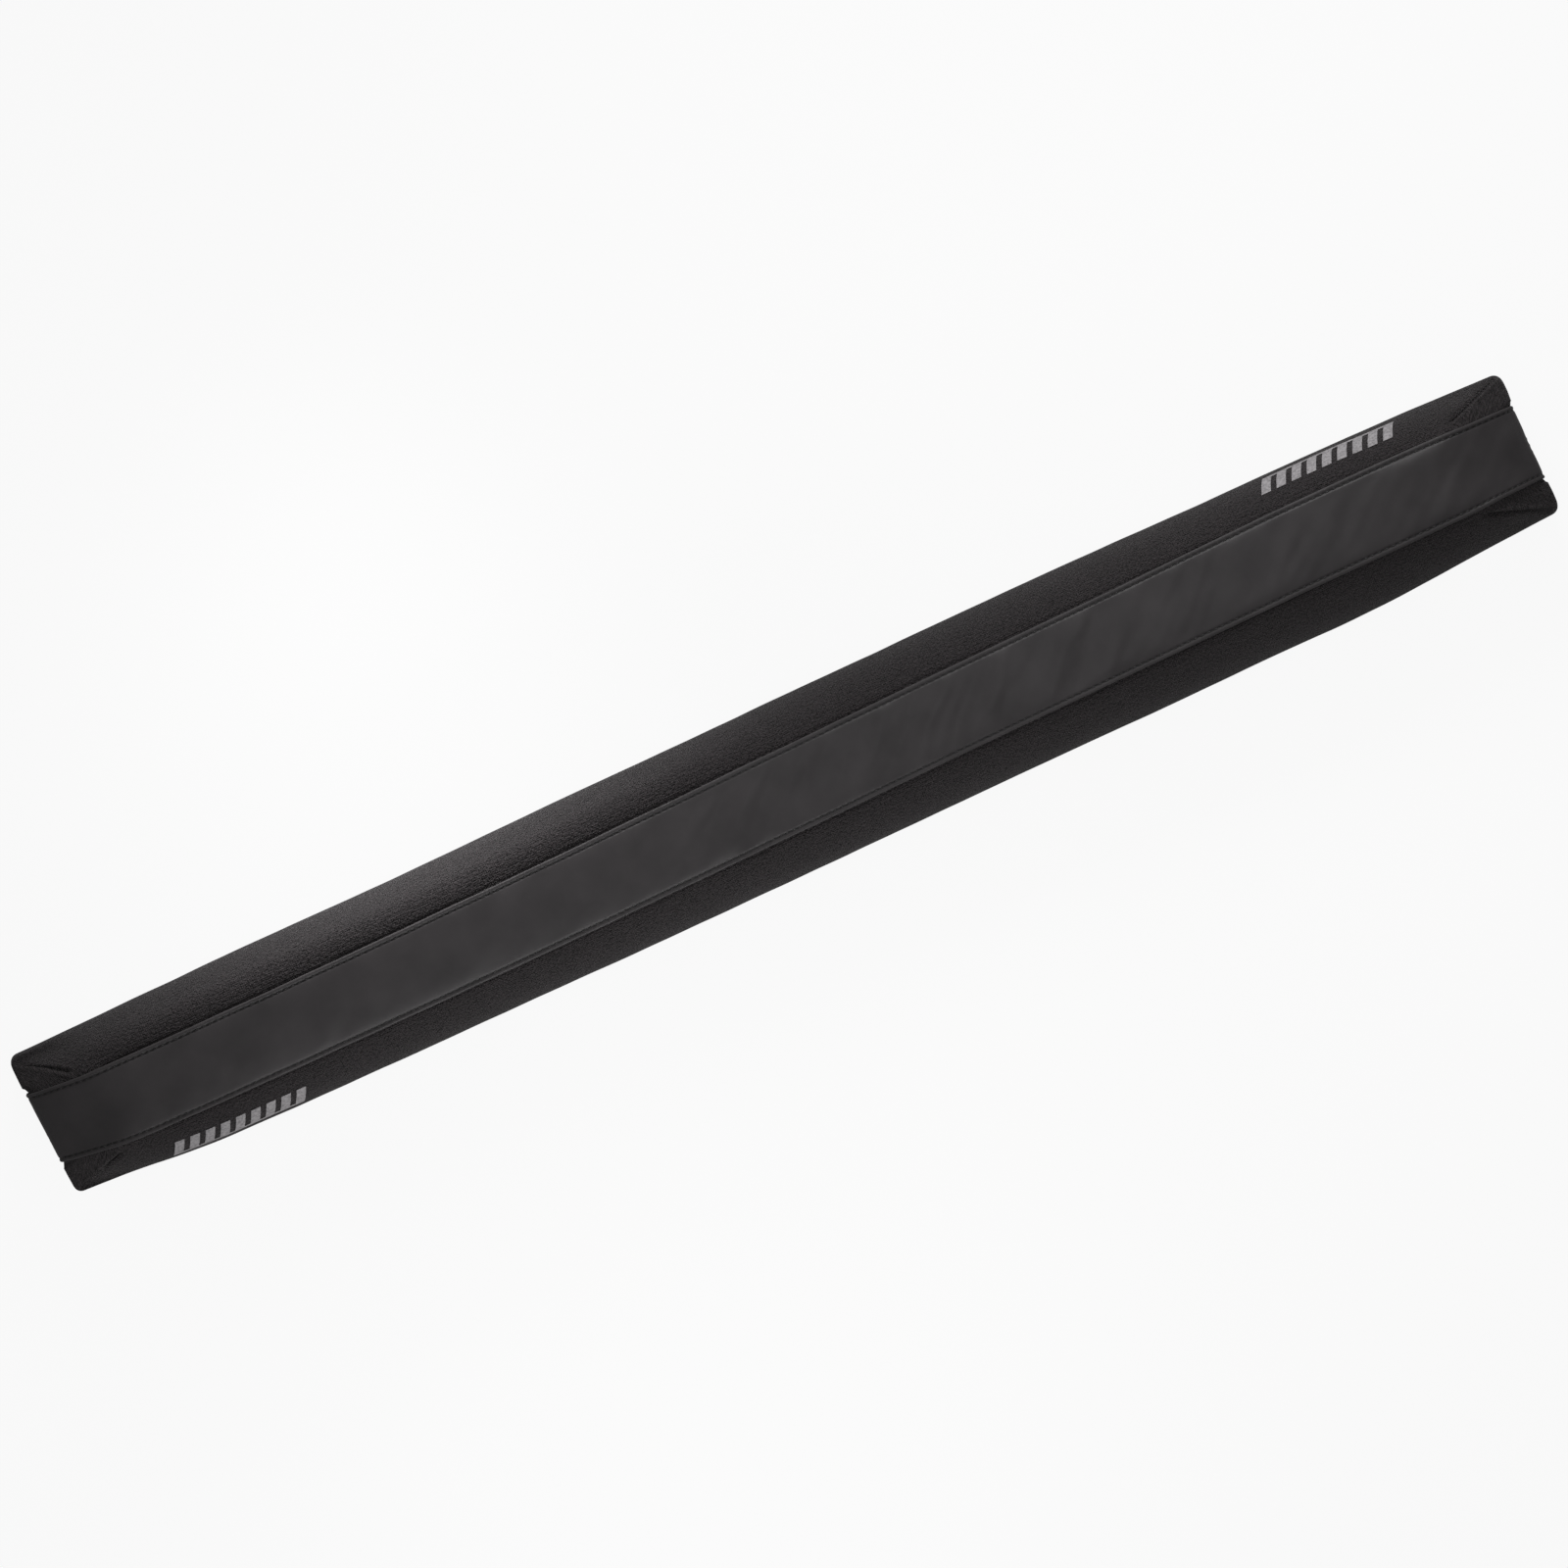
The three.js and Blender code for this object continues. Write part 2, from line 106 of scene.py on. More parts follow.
FLOOR_WHITE = 0.6
FLOOR_SHOWN = 0.92  # share of plain white that the camera sees in the floor
SKY_STRENGTH = 0.3
bpy.ops.mesh.primitive_plane_add(size=8, location=(0, 0, -0.0002))
floor = bpy.context.object
floor.name = "studio_floor"
floor_paper, floor_shader = new_material("floor_paper", (FLOOR_WHITE,) * 3, 0.9)
eye = add_node(floor_paper, "ShaderNodeLightPath").outputs["Is Camera Ray"]
white = add_node(floor_paper, "ShaderNodeEmission", Color=(1, 1, 1, 1), Strength=1.0)
seen = math_node(floor_paper, "MULTIPLY", eye, FLOOR_SHOWN)
mix = add_node(floor_paper, "ShaderNodeMixShader", i0=seen, i1=floor_shader.outputs[0],
               i2=white.outputs[0])
link(floor_paper, mix.outputs[0], floor_paper.node_tree.nodes["Material Output"].inputs["Surface"])
floor.data.materials.append(floor_paper)

sky = bpy.data.worlds.new("studio_sky")
bpy.context.scene.world = sky
sky.use_nodes = True
sky.node_tree.nodes["Background"].inputs["Color"].default_value = (1, 1, 1, 1)
sky.node_tree.nodes["Background"].inputs["Strength"].default_value = SKY_STRENGTH


def add_lamp(name, place, aim, size, spread, watts):
    bpy.ops.object.light_add(type="AREA", location=place)
    lamp = bpy.context.object
    lamp.name = name
    lamp.data.shape = "RECTANGLE"
    lamp.data.size, lamp.data.size_y = size
    lamp.data.spread = math.radians(spread)
    lamp.data.energy = watts
    lamp.rotation_euler = (Vector(aim) - Vector(place)).to_track_quat("-Z", "Y").to_euler()
    lamp.visible_camera = False


add_lamp("softbox", (0.15, 0, 1.0), (0.11, 0, 0.03), (0.4, 0.3), 105, 0.32)
add_lamp("rear_lamp", (0.35, 0.9, 0.6), (0.25, 0.03, 0.04), (0.5, 0.3), 70, 1.13)
add_lamp("left_lamp", (-0.07, 0.5, 0.2), (-0.185, 0.03, 0.04), (0.12, 0.08), 44, 0.22)
add_lamp("front_lamp", (-0.2, -0.65, 0.36), (-0.12, -0.03, 0.03), (0.3, 0.2), 75, 0.42)


# The foam: a saddle of closed-cell foam, cut to an upside-down U and a little soft at its edges.
# It gives the cover its shape, and it leans, twists and bows a little as such a long soft piece does.
STRIP_OVER_COVER = 0.0017
crown_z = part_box("wear_strip")[1].z - STRIP_OVER_COVER  # height of the cover under the strip
cover_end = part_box("side_panel_front")[1].x
cover_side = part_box("side_panel_rear")[1].y
WAIST_Z = 0.020
FOOT_Y = 0.028
SQUARENESS = 2.6
STRIP_EDGE_Z = 0.0525
END_NARROWING = 0.0045
END_SINK = 0.0026
TAPER_LENGTH = 0.1
# at each place along the pad: half its width, how far its outline and its strip lie off the middle,
# and how its strip slopes towards the front, in millimetres to the metre
PLACES = (-0.375, -0.355, -0.31, -0.27, -0.18, -0.09, 0, 0.09, 0.18, 0.23, 0.28, 0.34, 0.375)
HALF_WIDTH = (35.3, 35.7, 37.9, 38.7, 38.7, 39.5, 39.8, 39.8, 39.7, 39.1, 39.0, 36.8, 35.2)
BOW = (1.5, 1.1, -0.6, -0.7, -1.1, -0.7, -0.4, 0.3, 0.5, 0.3, 0.5, 1.9, 2.2)
LEAN = (-3.9, -4.6, -3.6, -3.5, -3.0, -2.4, -1.2, -0.4, 0.5, 1.5, 1.8, 0.6, 0.5)
ROLL = (110, 130, 155, 175, 195, 160, 80, 20, -8, -12, -12, 0, 0)
LEAN_GROWTH = 1.8
END_SKEW = 0.045
END_POWER = 8  # how closely the skew and the filling keep to the ends
SHOULDER_DROP = (0.0085, 0.004)  # how far the corners of the left and the right nose hang down
SHOULDER_Y = (0.016, 0.034)
SHOULDER_Z = (0.026, 0.040)
SHOULDER_FROM_END = (0.042, 0.008)
FOAM_VOXEL = 0.003
FOAM_CLEARANCE = 0.0014
FOAM_GREY = (0.045, 0.045, 0.048)
WELD = 0.00001
END_TUCK = 0.0019  # how far the strip pulls the ends in
TUCK_LENGTH = 0.008
END_FILL = 0.0003  # how much fuller the corners of the right end are
FILL_Y = (0.019, 0.027)


def smooth_step(low, high, value):
    t = np.clip((np.asarray(value, dtype=float) - low) / (high - low), 0, 1)
    return t * t * (3 - 2 * t)


def hump(distance, width):
    """A soft ridge's height: 1 at its middle, and next to nothing two widths away."""
    return np.exp(-((distance / width) ** 2))


def curve_through(values, x):
    """A smooth curve through values in millimetres at the places along the pad, in metres at x."""
    places, heights = np.asarray(PLACES), np.asarray(values) / 1000
    slopes = np.gradient(heights, places)
    x = np.clip(x, places[0], places[-1])
    k = np.clip(np.searchsorted(places, x) - 1, 0, len(places) - 2)
    span = places[k + 1] - places[k]
    t = (x - places[k]) / span
    left = heights[k] * (1 + 2 * t) + slopes[k] * span * t
    right = heights[k + 1] * (3 - 2 * t) - slopes[k + 1] * span * (1 - t)
    return left * (1 - t) ** 2 + right * t**2


def narrowing_at(x):
    """The share of its width that the cover of the solids keeps at x."""
    taper = smooth_step(cover_end - TAPER_LENGTH, cover_end, np.abs(x))
    return 1 - END_NARROWING * taper / cover_side


def crown_at(x):
    """Height of the cover's crown before the nose falls away."""
    return crown_z - END_SINK * smooth_step(cover_end - TAPER_LENGTH, cover_end, np.abs(x))


def fullness_at(x):
    """How wide the pad is at x, as a share of the solids' width there."""
    return curve_through(HALF_WIDTH, x) / (cover_side * narrowing_at(x))


def settle(points):
    """The points of a straight pad, moved as this one narrows, leans, twists and bows."""
    x, y, z = points[..., 0], points[..., 1], points[..., 2]
    at_waist = (WAIST_Z / STRIP_EDGE_Z) ** LEAN_GROWTH
    growth = (np.clip(z, 0, None) / STRIP_EDGE_Z) ** LEAN_GROWTH
    towards_end = np.clip(np.abs(x) / cover_end, 0, 1.02) ** END_POWER
    shoulder = smooth_step(*SHOULDER_Y, np.abs(y)) * smooth_step(*SHOULDER_Z, z)
    shoulder_begins, shoulder_full = (cover_end - distance for distance in SHOULDER_FROM_END)
    shoulder = shoulder * smooth_step(shoulder_begins, shoulder_full, np.abs(x))
    moved = points.copy()
    moved[..., 2] = z - np.where(x < 0, *SHOULDER_DROP) * shoulder + curve_through(ROLL, x) * y * growth
    moved[..., 1] = y * fullness_at(x) + curve_through(BOW, x)
    moved[..., 1] += curve_through(LEAN, x) * (growth - at_waist) / (1 - at_waist)
    fuller = smooth_step(*FILL_Y, np.abs(y)) * (x > 0)
    moved[..., 0] = x + (END_FILL * fuller - END_SKEW * y * (x < 0)) * towards_end
    return moved


def tuck_ends(points, share=1.0):
    """The points with the two end walls drawn in a little."""
    tucked = points.copy()
    near_end = smooth_step(cover_end - TUCK_LENGTH, cover_end, np.abs(points[..., 0]))
    tucked[..., 0] -= np.sign(points[..., 0]) * END_TUCK * near_end * share
    return tucked


def vertices_of(obj):
    places = np.empty(len(obj.data.vertices) * 3)
    obj.data.vertices.foreach_get("co", places)
    return places.reshape(-1, 3)


def place_vertices(obj, places):
    obj.data.vertices.foreach_set("co", np.asarray(places, dtype=float).ravel())
    obj.data.update()


def finish_piece(obj, name, material, slot, *nodes):
    """Names a piece, gives it its finish and lets it ride in place of the solids it stands for."""
    obj.name = name
    obj.data.materials.clear()
    obj.data.materials.append(material)
    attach(obj, "root")
    if nodes:
        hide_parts(*nodes)


def select_only(obj):
    bpy.ops.object.select_all(action="DESELECT")
    obj.select_set(True)
    bpy.context.view_layer.objects.active = obj


def apply_modifier(obj, kind, **settings):
    select_only(obj)
    modifier = obj.modifiers.new(kind.lower(), kind)
    for key, value in settings.items():
        setattr(modifier, key, value)
    bpy.ops.object.modifier_apply(modifier=modifier.name)


foam = bpy.data.objects.new("foam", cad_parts["foam_core"].data.copy())
bpy.context.collection.objects.link(foam)
select_only(foam)
bpy.ops.object.mode_set(mode="EDIT")
bpy.ops.mesh.select_all(action="SELECT")
bpy.ops.mesh.remove_doubles(threshold=WELD)
bpy.ops.object.mode_set(mode="OBJECT")
apply_modifier(foam, "REMESH", mode="VOXEL", voxel_size=FOAM_VOXEL)
apply_modifier(foam, "DISPLACE", strength=-FOAM_CLEARANCE, mid_level=0)
place_vertices(foam, settle(tuck_ends(vertices_of(foam))))
foam_grey, foam_shader = new_material("closed_cell_foam", FOAM_GREY, 0.95)
foam_place = add_node(foam_grey, "ShaderNodeTexCoord").outputs["Object"]
cells = add_node(foam_grey, "ShaderNodeTexVoronoi", Scale=900.0, Vector=foam_place).outputs["Distance"]
dents = add_node(foam_grey, "ShaderNodeBump", Height=cells, Strength=0.4, Distance=0.0004)
link(foam_grey, dents.outputs[0], foam_shader.inputs["Normal"])
finish_piece(foam, "foam_saddle", foam_grey, "foam", "foam_core")


# The side panels: two lengths of woven polyester, cut to wrap flank, foot and both ends.
# A dart takes in each upper corner, and the upper edges lie under the wear strip.
PANEL_THICKNESS = 0.0012
STRIP_WIDTH = 0.038
LAP_Y = 0.013
FOOT_INNER_Y = 0.0191
FOOT_SEAM_Y = 0.0236
TURN_UP_Z = 0.0054
WALL_INNER_TOP = 0.031
WALL_BLEND = 0.004
WALL_LEAST = 0.0003  # the narrowest that an end wall may be
NOSE_LENGTH = 0.055
NOSE_DROP = 0.0165
NOSE_POWER = 2.2
END_ROUNDING = 0.004
HEEL_ROUNDING = 0.003
CORNER_ROUNDING = 0.0043
HIP_ROUNDING = 0.0014
CROWN_ROUNDING = 0.012
HIP_Z = 0.038  # where the upright corner ends and the hip between nose and flank begins
HIP_BLEND = 0.003
HIP_SOFTENING = (0.028, 0.0165)  # where the hip begins to round off, and where it has run out
# where each zone across the panel starts, and the spacing of its rows
ROW_ZONES = ((0, 0.0008), (0.028, 0.0021), (0.068, 0.0012))
END_COLUMNS = 18
CORNER_COLUMNS = 12
FLANK_COLUMNS = 520
CLOSER_AT_ENDS = 0.55  # how much closer the columns lie towards the ends


def nose_at(x):
    into = np.clip((np.abs(x) - cover_end) / NOSE_LENGTH + 1, 0, None)
    return crown_at(x) - NOSE_DROP * into**NOSE_POWER


def side_profile():
    """The pad's end seen from the side, as (x, z) from the top of the nose down to the floor."""
    nose_x = np.linspace(cover_end - NOSE_LENGTH, cover_end, 200)
    nose_z = nose_at(nose_x)
    slope = np.gradient(nose_z, nose_x)
    # the round into the wall starts where its circle touches both nose and wall
    centre_x = cover_end - END_ROUNDING
    lean = np.arctan(-slope)
    start = np.argmin(np.abs(nose_x - END_ROUNDING * np.sin(lean) - centre_x))
    centre_z = nose_z[start] - END_ROUNDING * math.cos(lean[start])
    round_angles = np.linspace(math.pi / 2 - lean[start], 0, 16)[1:]
    heel_angles = np.linspace(0, -math.pi / 2, 10)
    x = np.concatenate([
        nose_x[:start + 1],
        centre_x + END_ROUNDING * np.cos(round_angles),
        cover_end - HEEL_ROUNDING + HEEL_ROUNDING * np.cos(heel_angles),
    ])
    z = np.concatenate([
        nose_z[:start + 1],
        centre_z + END_ROUNDING * np.sin(round_angles),
        HEEL_ROUNDING + HEEL_ROUNDING * np.sin(heel_angles),
    ])
    return x, z


def along(line):
    """Distance from the first point, along a line of points."""
    return np.concatenate([[0], np.cumsum(np.linalg.norm(np.diff(line, axis=0), axis=1))])


def section_line():
    """Half the cross-section as (y, z), from the lap under the strip to the turn-up inside the foot."""
    flank = np.linspace(math.pi / 2, 0, 600)
    y = cover_side * np.cos(flank) ** (2 / SQUARENESS)
    z = WAIST_Z + (crown_z - WAIST_Z) * np.sin(flank) ** (2 / SQUARENESS)
    y, z = y[y > LAP_Y], z[y > LAP_Y]
    under = np.linspace(0, -math.pi / 2, 60)[1:]
    y = np.concatenate([y, FOOT_Y + (cover_side - FOOT_Y) * np.cos(under), [FOOT_INNER_Y, FOOT_INNER_Y]])
    z = np.concatenate([z, WAIST_Z * (1 + np.sin(under)), [0, TURN_UP_Z]])
    line = np.stack([y, z], axis=1)
    length = along(line)
    zone_ends = [start for start, spacing in ROW_ZONES[1:]] + [length[-1]]
    steps = [
        np.arange(start, end - spacing / 2, spacing)
        for (start, spacing), end in zip(ROW_ZONES, zone_ends)
    ]
    steps = np.concatenate(steps + [length[-1:]])
    return np.interp(steps, length, y), np.interp(steps, length, z), steps


def surface_normals(grid):
    """Unit normals of a grid of points, rows by columns, which point out of both side panels."""
    down = np.gradient(grid, axis=0)
    over = np.gradient(grid, axis=1)
    normals = np.cross(down, over)
    return normals / np.maximum(np.linalg.norm(normals, axis=2, keepdims=True), 1e-12)


def rumple(points, scale, seed):
    """Smooth noise from -1 to 1 at each point, with its own scale along x, y and z."""
    flat = points.reshape(-1, 3) / np.asarray(scale) + seed
    values = [noise.noise(Vector(place)) for place in flat]
    return np.array(values).reshape(points.shape[:-1])


def panel_surface():
    """The front panel's outer face as a grid, with the length along each row and across the rows."""
    section_y, section_z, across = section_line()
    profile_x, profile_z = side_profile()
    level = profile_z * crown_z / crown_at(profile_x)
    t = np.linspace(0, 1, FLANK_COLUMNS)
    spread = t - CLOSER_AT_ENDS * np.sin(2 * math.pi * t) / (2 * math.pi)
    rows = []
    for y, z in zip(section_y, section_z):
        end_x = np.interp(z, level[::-1], profile_x[::-1])
        if z == 0 or y == FOOT_INNER_Y:
            end_x = cover_end - HEEL_ROUNDING - (FOOT_Y - y)
        corner_y = y * narrowing_at(end_x)
        beside_channel = smooth_step(WALL_INNER_TOP + WALL_BLEND, WALL_INNER_TOP, z)
        inner_y = LAP_Y + (FOOT_INNER_Y - LAP_Y) * beside_channel
        inner_y = min(inner_y, corner_y - WALL_LEAST)
        upright = smooth_step(HIP_Z + HIP_BLEND, HIP_Z - HIP_BLEND, z)
        radius = HIP_ROUNDING + (CORNER_ROUNDING - HIP_ROUNDING) * upright
        radius += (CROWN_ROUNDING - HIP_ROUNDING) * smooth_step(*HIP_SOFTENING, corner_y)
        reach = min(radius, 0.8 * (corner_y - inner_y))
        run = end_x - radius
        height = z * crown_at(end_x) / crown_z
        corner = np.array([end_x, -corner_y, height])
        from_end = np.array([end_x, -corner_y + reach, height])
        from_flank = np.array([run, -y * narrowing_at(run), z * crown_at(run) / crown_z])
        t = np.linspace(0, 1, CORNER_COLUMNS + 2)[1:-1, None]
        turn = from_end * (1 - t) ** 2 + 2 * corner * t * (1 - t) + from_flank * t**2
        wall_y = np.linspace(-inner_y, from_end[1], END_COLUMNS)
        wall = np.stack([np.full(END_COLUMNS, end_x), wall_y, np.full(END_COLUMNS, height)], axis=1)
        end = np.concatenate([wall, turn])
        flank_x = run * (2 * spread - 1)
        flank = np.stack([
            flank_x, -y * narrowing_at(flank_x), z * crown_at(flank_x) / crown_z,
        ], axis=1)
        mirrored = end * (-1, 1, 1)
        rows.append(np.concatenate([mirrored, flank, end[::-1]]))
    grid = np.array(rows)
    lengths = np.linalg.norm(np.diff(grid, axis=1), axis=2)
    run_along = np.concatenate([np.zeros((len(grid), 1)), np.cumsum(lengths, axis=1)], axis=1)
    run_along -= run_along[:, -1:] / 2
    return grid, run_along, across


FOAM_UNEVENNESS = 0.0004
UNEVENNESS_SCALE = (0.07, 0.03, 0.03)
FINE_SHARE = 0.4  # of the unevenness, at the fine scale
FINE_SCALE = (0.018, 0.02, 0.02)
PUCKER_DEPTH = 0.0002
PUCKER_SCALE = (0.0042, 0.05, 0.05)
PUCKER_REACH = 0.006
LEVEL_REACH = 0.003  # how far beside the strip the cloth is held level
COVERED = -0.001  # what lies further than this under the strip is left as it is
WALL_BULGE = 0.0004
WALL_TOP = 0.040
WALL_SPAN = 0.0155  # from the strip's edge to the outer corner of an end wall
GATHER_DEPTH = 0.00016
GATHER_SCALE = (0.0017, 0.004, 0.004)
GATHER_REACH = 0.003
DART_DEPTH = 0.0019
DART_HALF_WIDTHS = (0.0008, 0.0012)  # of the crease, on the side of the end and on the other
DART_LIP = 0.0003
LIP_PLACE = 0.0018
LIP_WIDTH = 0.0008
DART_FLOOR = 0.030  # the darts lie above this height
SEAM_VALLEY = 0.0008
VALLEY_WIDTH = 0.0012
VALLEY_START = 0.0004
SEAM_SINK = 0.0009  # along the rear seam's left half, where the cloth is pulled in
SINK_WIDTH = 0.005
SEAM_SWELL = 0.0013  # and swells out again beside it
SWELL_PLACE = 0.0115
SWELL_WIDTH = 0.006
FOOT_GROOVE = 0.0003
GROOVE_WIDTH = 0.0012
OUTWARD = {"front": -1, "rear": 1}  # the way along Y that each panel faces
# the darts as seen from above: where each one starts near its corner, and its tip beside the strip
DARTS = {
    "front": (((-0.3707, -0.0316), (-0.3481, -0.0253)), ((0.3711, -0.0293), (0.3445, -0.0199))),
    "rear": (((-0.3738, 0.0307), (-0.3544, 0.0185)), ((0.3743, 0.0352), (0.3468, 0.0257))),
}


def turned_to(grid, side):
    """The front panel's points, or the same points turned round to the rear."""
    return grid if side == "front" else grid * (-1, -1, 1)


def dress_panel(grid, across, side, seed):
    """The straight panel with the unevenness, puckers, full ends and creased darts of a sewn one."""
    normals = surface_normals(grid)
    columns = np.arange(grid.shape[1])
    from_edge = np.minimum(columns, grid.shape[1] - 1 - columns)
    from_strip = (across - np.interp(STRIP_WIDTH / 2, upper_y, across[:len(upper_y)]))[:, None]
    uncovered = from_strip > COVERED
    lift = FOAM_UNEVENNESS * rumple(grid, UNEVENNESS_SCALE, seed)
    lift += FINE_SHARE * FOAM_UNEVENNESS * rumple(grid, FINE_SCALE, seed + 7)
    puckers = PUCKER_DEPTH * np.exp(-np.clip(from_strip, 0, None) / PUCKER_REACH)
    lift += puckers * rumple(grid, PUCKER_SCALE, seed + 13)
    lift *= smooth_step(0, LEVEL_REACH, from_strip)
    # the valley beside the strip, shallower on the end walls
    wall = np.clip((END_COLUMNS + CORNER_COLUMNS - from_edge) / CORNER_COLUMNS, 0, 1)
    valley = SEAM_VALLEY * (1 - 0.7 * wall) * uncovered
    lift -= valley * hump(np.clip(from_strip - VALLEY_START, 0, None), VALLEY_WIDTH)
    if side == "rear":
        # turned round, the rear panel's left half lies at positive x
        swollen = SEAM_SWELL * hump(from_strip - SWELL_PLACE, SWELL_WIDTH)
        swollen = swollen - SEAM_SINK * hump(np.clip(from_strip, 0, None), SINK_WIDTH)
        left_half = smooth_step(-0.03, 0.06, grid[..., 0])
        left_half = left_half * smooth_step(cover_end - 0.01, 0.32, grid[..., 0])
        lift += swollen * left_half * uncovered
    # the end walls: a little full between floor and nose, and drawn in beside the strip
    out = (-grid[..., 1] - STRIP_WIDTH / 2) / WALL_SPAN
    low = np.sin(math.pi * np.clip(grid[..., 2] / WALL_TOP, 0, 1)) ** 0.7
    lift += wall * low * WALL_BULGE * smooth_step(0, 0.5, out)
    # the groove of the seam under the foot
    on_foot = (grid[..., 2] < 0.0004) * (from_edge > END_COLUMNS)[None, :]
    lift -= on_foot * FOOT_GROOVE * hump(-grid[..., 1] - FOOT_SEAM_Y, GROOVE_WIDTH)
    # the darts
    seen_from_above = settle(turned_to(grid, side))[..., :2]
    gathers = GATHER_DEPTH * rumple(grid, GATHER_SCALE, seed)
    for start, tip in DARTS[side]:
        course = np.array(tip) - start
        dart_length = np.linalg.norm(course)
        from_start = seen_from_above - start
        share = from_start @ course / dart_length**2
        aside = (from_start[..., 0] * course[1] - from_start[..., 1] * course[0]) / dart_length
        beside = np.abs(aside)
        # the crease is steep on the side of the end, and runs out gently on the other
        steep = aside * start[0] * course[1] > 0
        sewn = smooth_step(-0.2, -0.05, share) * smooth_step(1.04, 0.9, share)
        sewn = sewn * smooth_step(DART_FLOOR, DART_FLOOR + 0.002, grid[..., 2])
        crease = hump(beside, np.where(steep, *DART_HALF_WIDTHS))
        lips = hump(beside - LIP_PLACE, LIP_WIDTH) * steep
        pulled = gathers * np.exp(-beside / GATHER_REACH) * (beside > 0.001)
        lift += sewn * (DART_LIP * lips - DART_DEPTH * crease + pulled)
    return tuck_ends(grid + normals * lift[..., None], smooth_step(0.12, 0, out))


def cloth_from(grid, run_along, across, name):
    """A cloth from a grid of points: a flat sheet of as many squares, laid out on them."""
    rows, columns = grid.shape[:2]
    bpy.ops.object.select_all(action="DESELECT")
    bpy.ops.mesh.primitive_grid_add(x_subdivisions=columns - 1, y_subdivisions=rows - 1, size=1)
    cloth = bpy.context.object
    cloth.name = name
    place_vertices(cloth, grid)
    corners = np.empty(len(cloth.data.loops), dtype=np.int64)
    cloth.data.loops.foreach_get("vertex_index", corners)
    run_all = np.broadcast_to(run_along, grid.shape[:2])
    across_all = np.broadcast_to(np.reshape(across, (-1, 1)), grid.shape[:2])
    threads = np.stack([run_all.ravel(), across_all.ravel()], axis=1)[corners]
    cloth.data.uv_layers.active.data.foreach_set("uv", threads.ravel())
    return cloth


def point_outwards(cloth, outward):
    """Turns a sheet over where its faces look away from the outward side."""
    facing = sum(face.normal.dot(Vector(outward)) * face.area for face in cloth.data.polygons)
    if facing < 0:
        cloth.data.flip_normals()


def smooth(cloth, angle=50):
    select_only(cloth)
    bpy.ops.object.shade_smooth_by_angle(angle=math.radians(angle))


def woven_cloth(name, colour, pitch, bump, sheen, roughness, melange, slub):
    """Plain-woven yarn: each square of the weave is a small round of warp or weft."""
    cloth, shader = new_material(name, colour, roughness, 0.3)
    shader.inputs["Sheen Weight"].default_value = sheen
    shader.inputs["Sheen Roughness"].default_value = 0.45
    threads = add_node(cloth, "ShaderNodeTexCoord").outputs["UV"]
    wander = add_node(cloth, "ShaderNodeTexNoise", Vector=threads, Scale=260.0, Detail=2.0)
    nudge = vector_node(cloth, "MULTIPLY", i0=wander.outputs["Color"], i1=(pitch * 0.5,) * 3)
    place = vector_node(cloth, "ADD", i0=threads, i1=nudge)
    turns = vector_node(cloth, "MULTIPLY", i0=place, i1=(math.pi / pitch,) * 3)
    split = add_node(cloth, "ShaderNodeSeparateXYZ", i0=turns)
    warp = math_node(cloth, "SINE", split.outputs["X"])
    weft = math_node(cloth, "SINE", split.outputs["Y"])
    crossing = math_node(cloth, "MULTIPLY", warp, weft)
    yarn_top = math_node(cloth, "POWER", math_node(cloth, "ABSOLUTE", crossing), 0.55)
    warp_up = math_node(cloth, "GREATER_THAN", crossing, 0.0)
    mottle = add_node(cloth, "ShaderNodeTexNoise", Vector=threads, Scale=0.8 / pitch, Detail=2.0)
    broad = add_node(cloth, "ShaderNodeTexNoise", Vector=threads, Scale=90.0, Detail=3.0)
    shade = math_node(cloth, "MULTIPLY_ADD", mottle.outputs["Fac"], 2 * melange, 1 - melange)
    patch = math_node(cloth, "MULTIPLY_ADD", broad.outputs["Fac"], 0.5, 0.75)
    lighter = math_node(cloth, "MULTIPLY_ADD", warp_up, 0.3, 0.85)
    # painted shade: the base colour is darkened where the yarn dips between crossings, standing in for
    # the shade in the weave's hollows
    depth = math_node(cloth, "MULTIPLY_ADD", yarn_top, 0.8, 0.5)
    factor = math_node(cloth, "MULTIPLY", math_node(cloth, "MULTIPLY", shade, lighter), depth)
    factor = math_node(cloth, "MULTIPLY", factor, patch)
    link(cloth, vector_node(cloth, "SCALE", i0=colour, i3=factor), shader.inputs["Base Color"])
    slubs = add_node(cloth, "ShaderNodeBump", Height=mottle.outputs["Fac"], Strength=slub,
                     Distance=pitch * 2.2)
    relief = add_node(cloth, "ShaderNodeBump", Height=yarn_top, Strength=bump, Distance=pitch * 0.35,
                      Normal=slubs.outputs[0])
    link(cloth, relief.outputs[0], shader.inputs["Normal"])
    return cloth


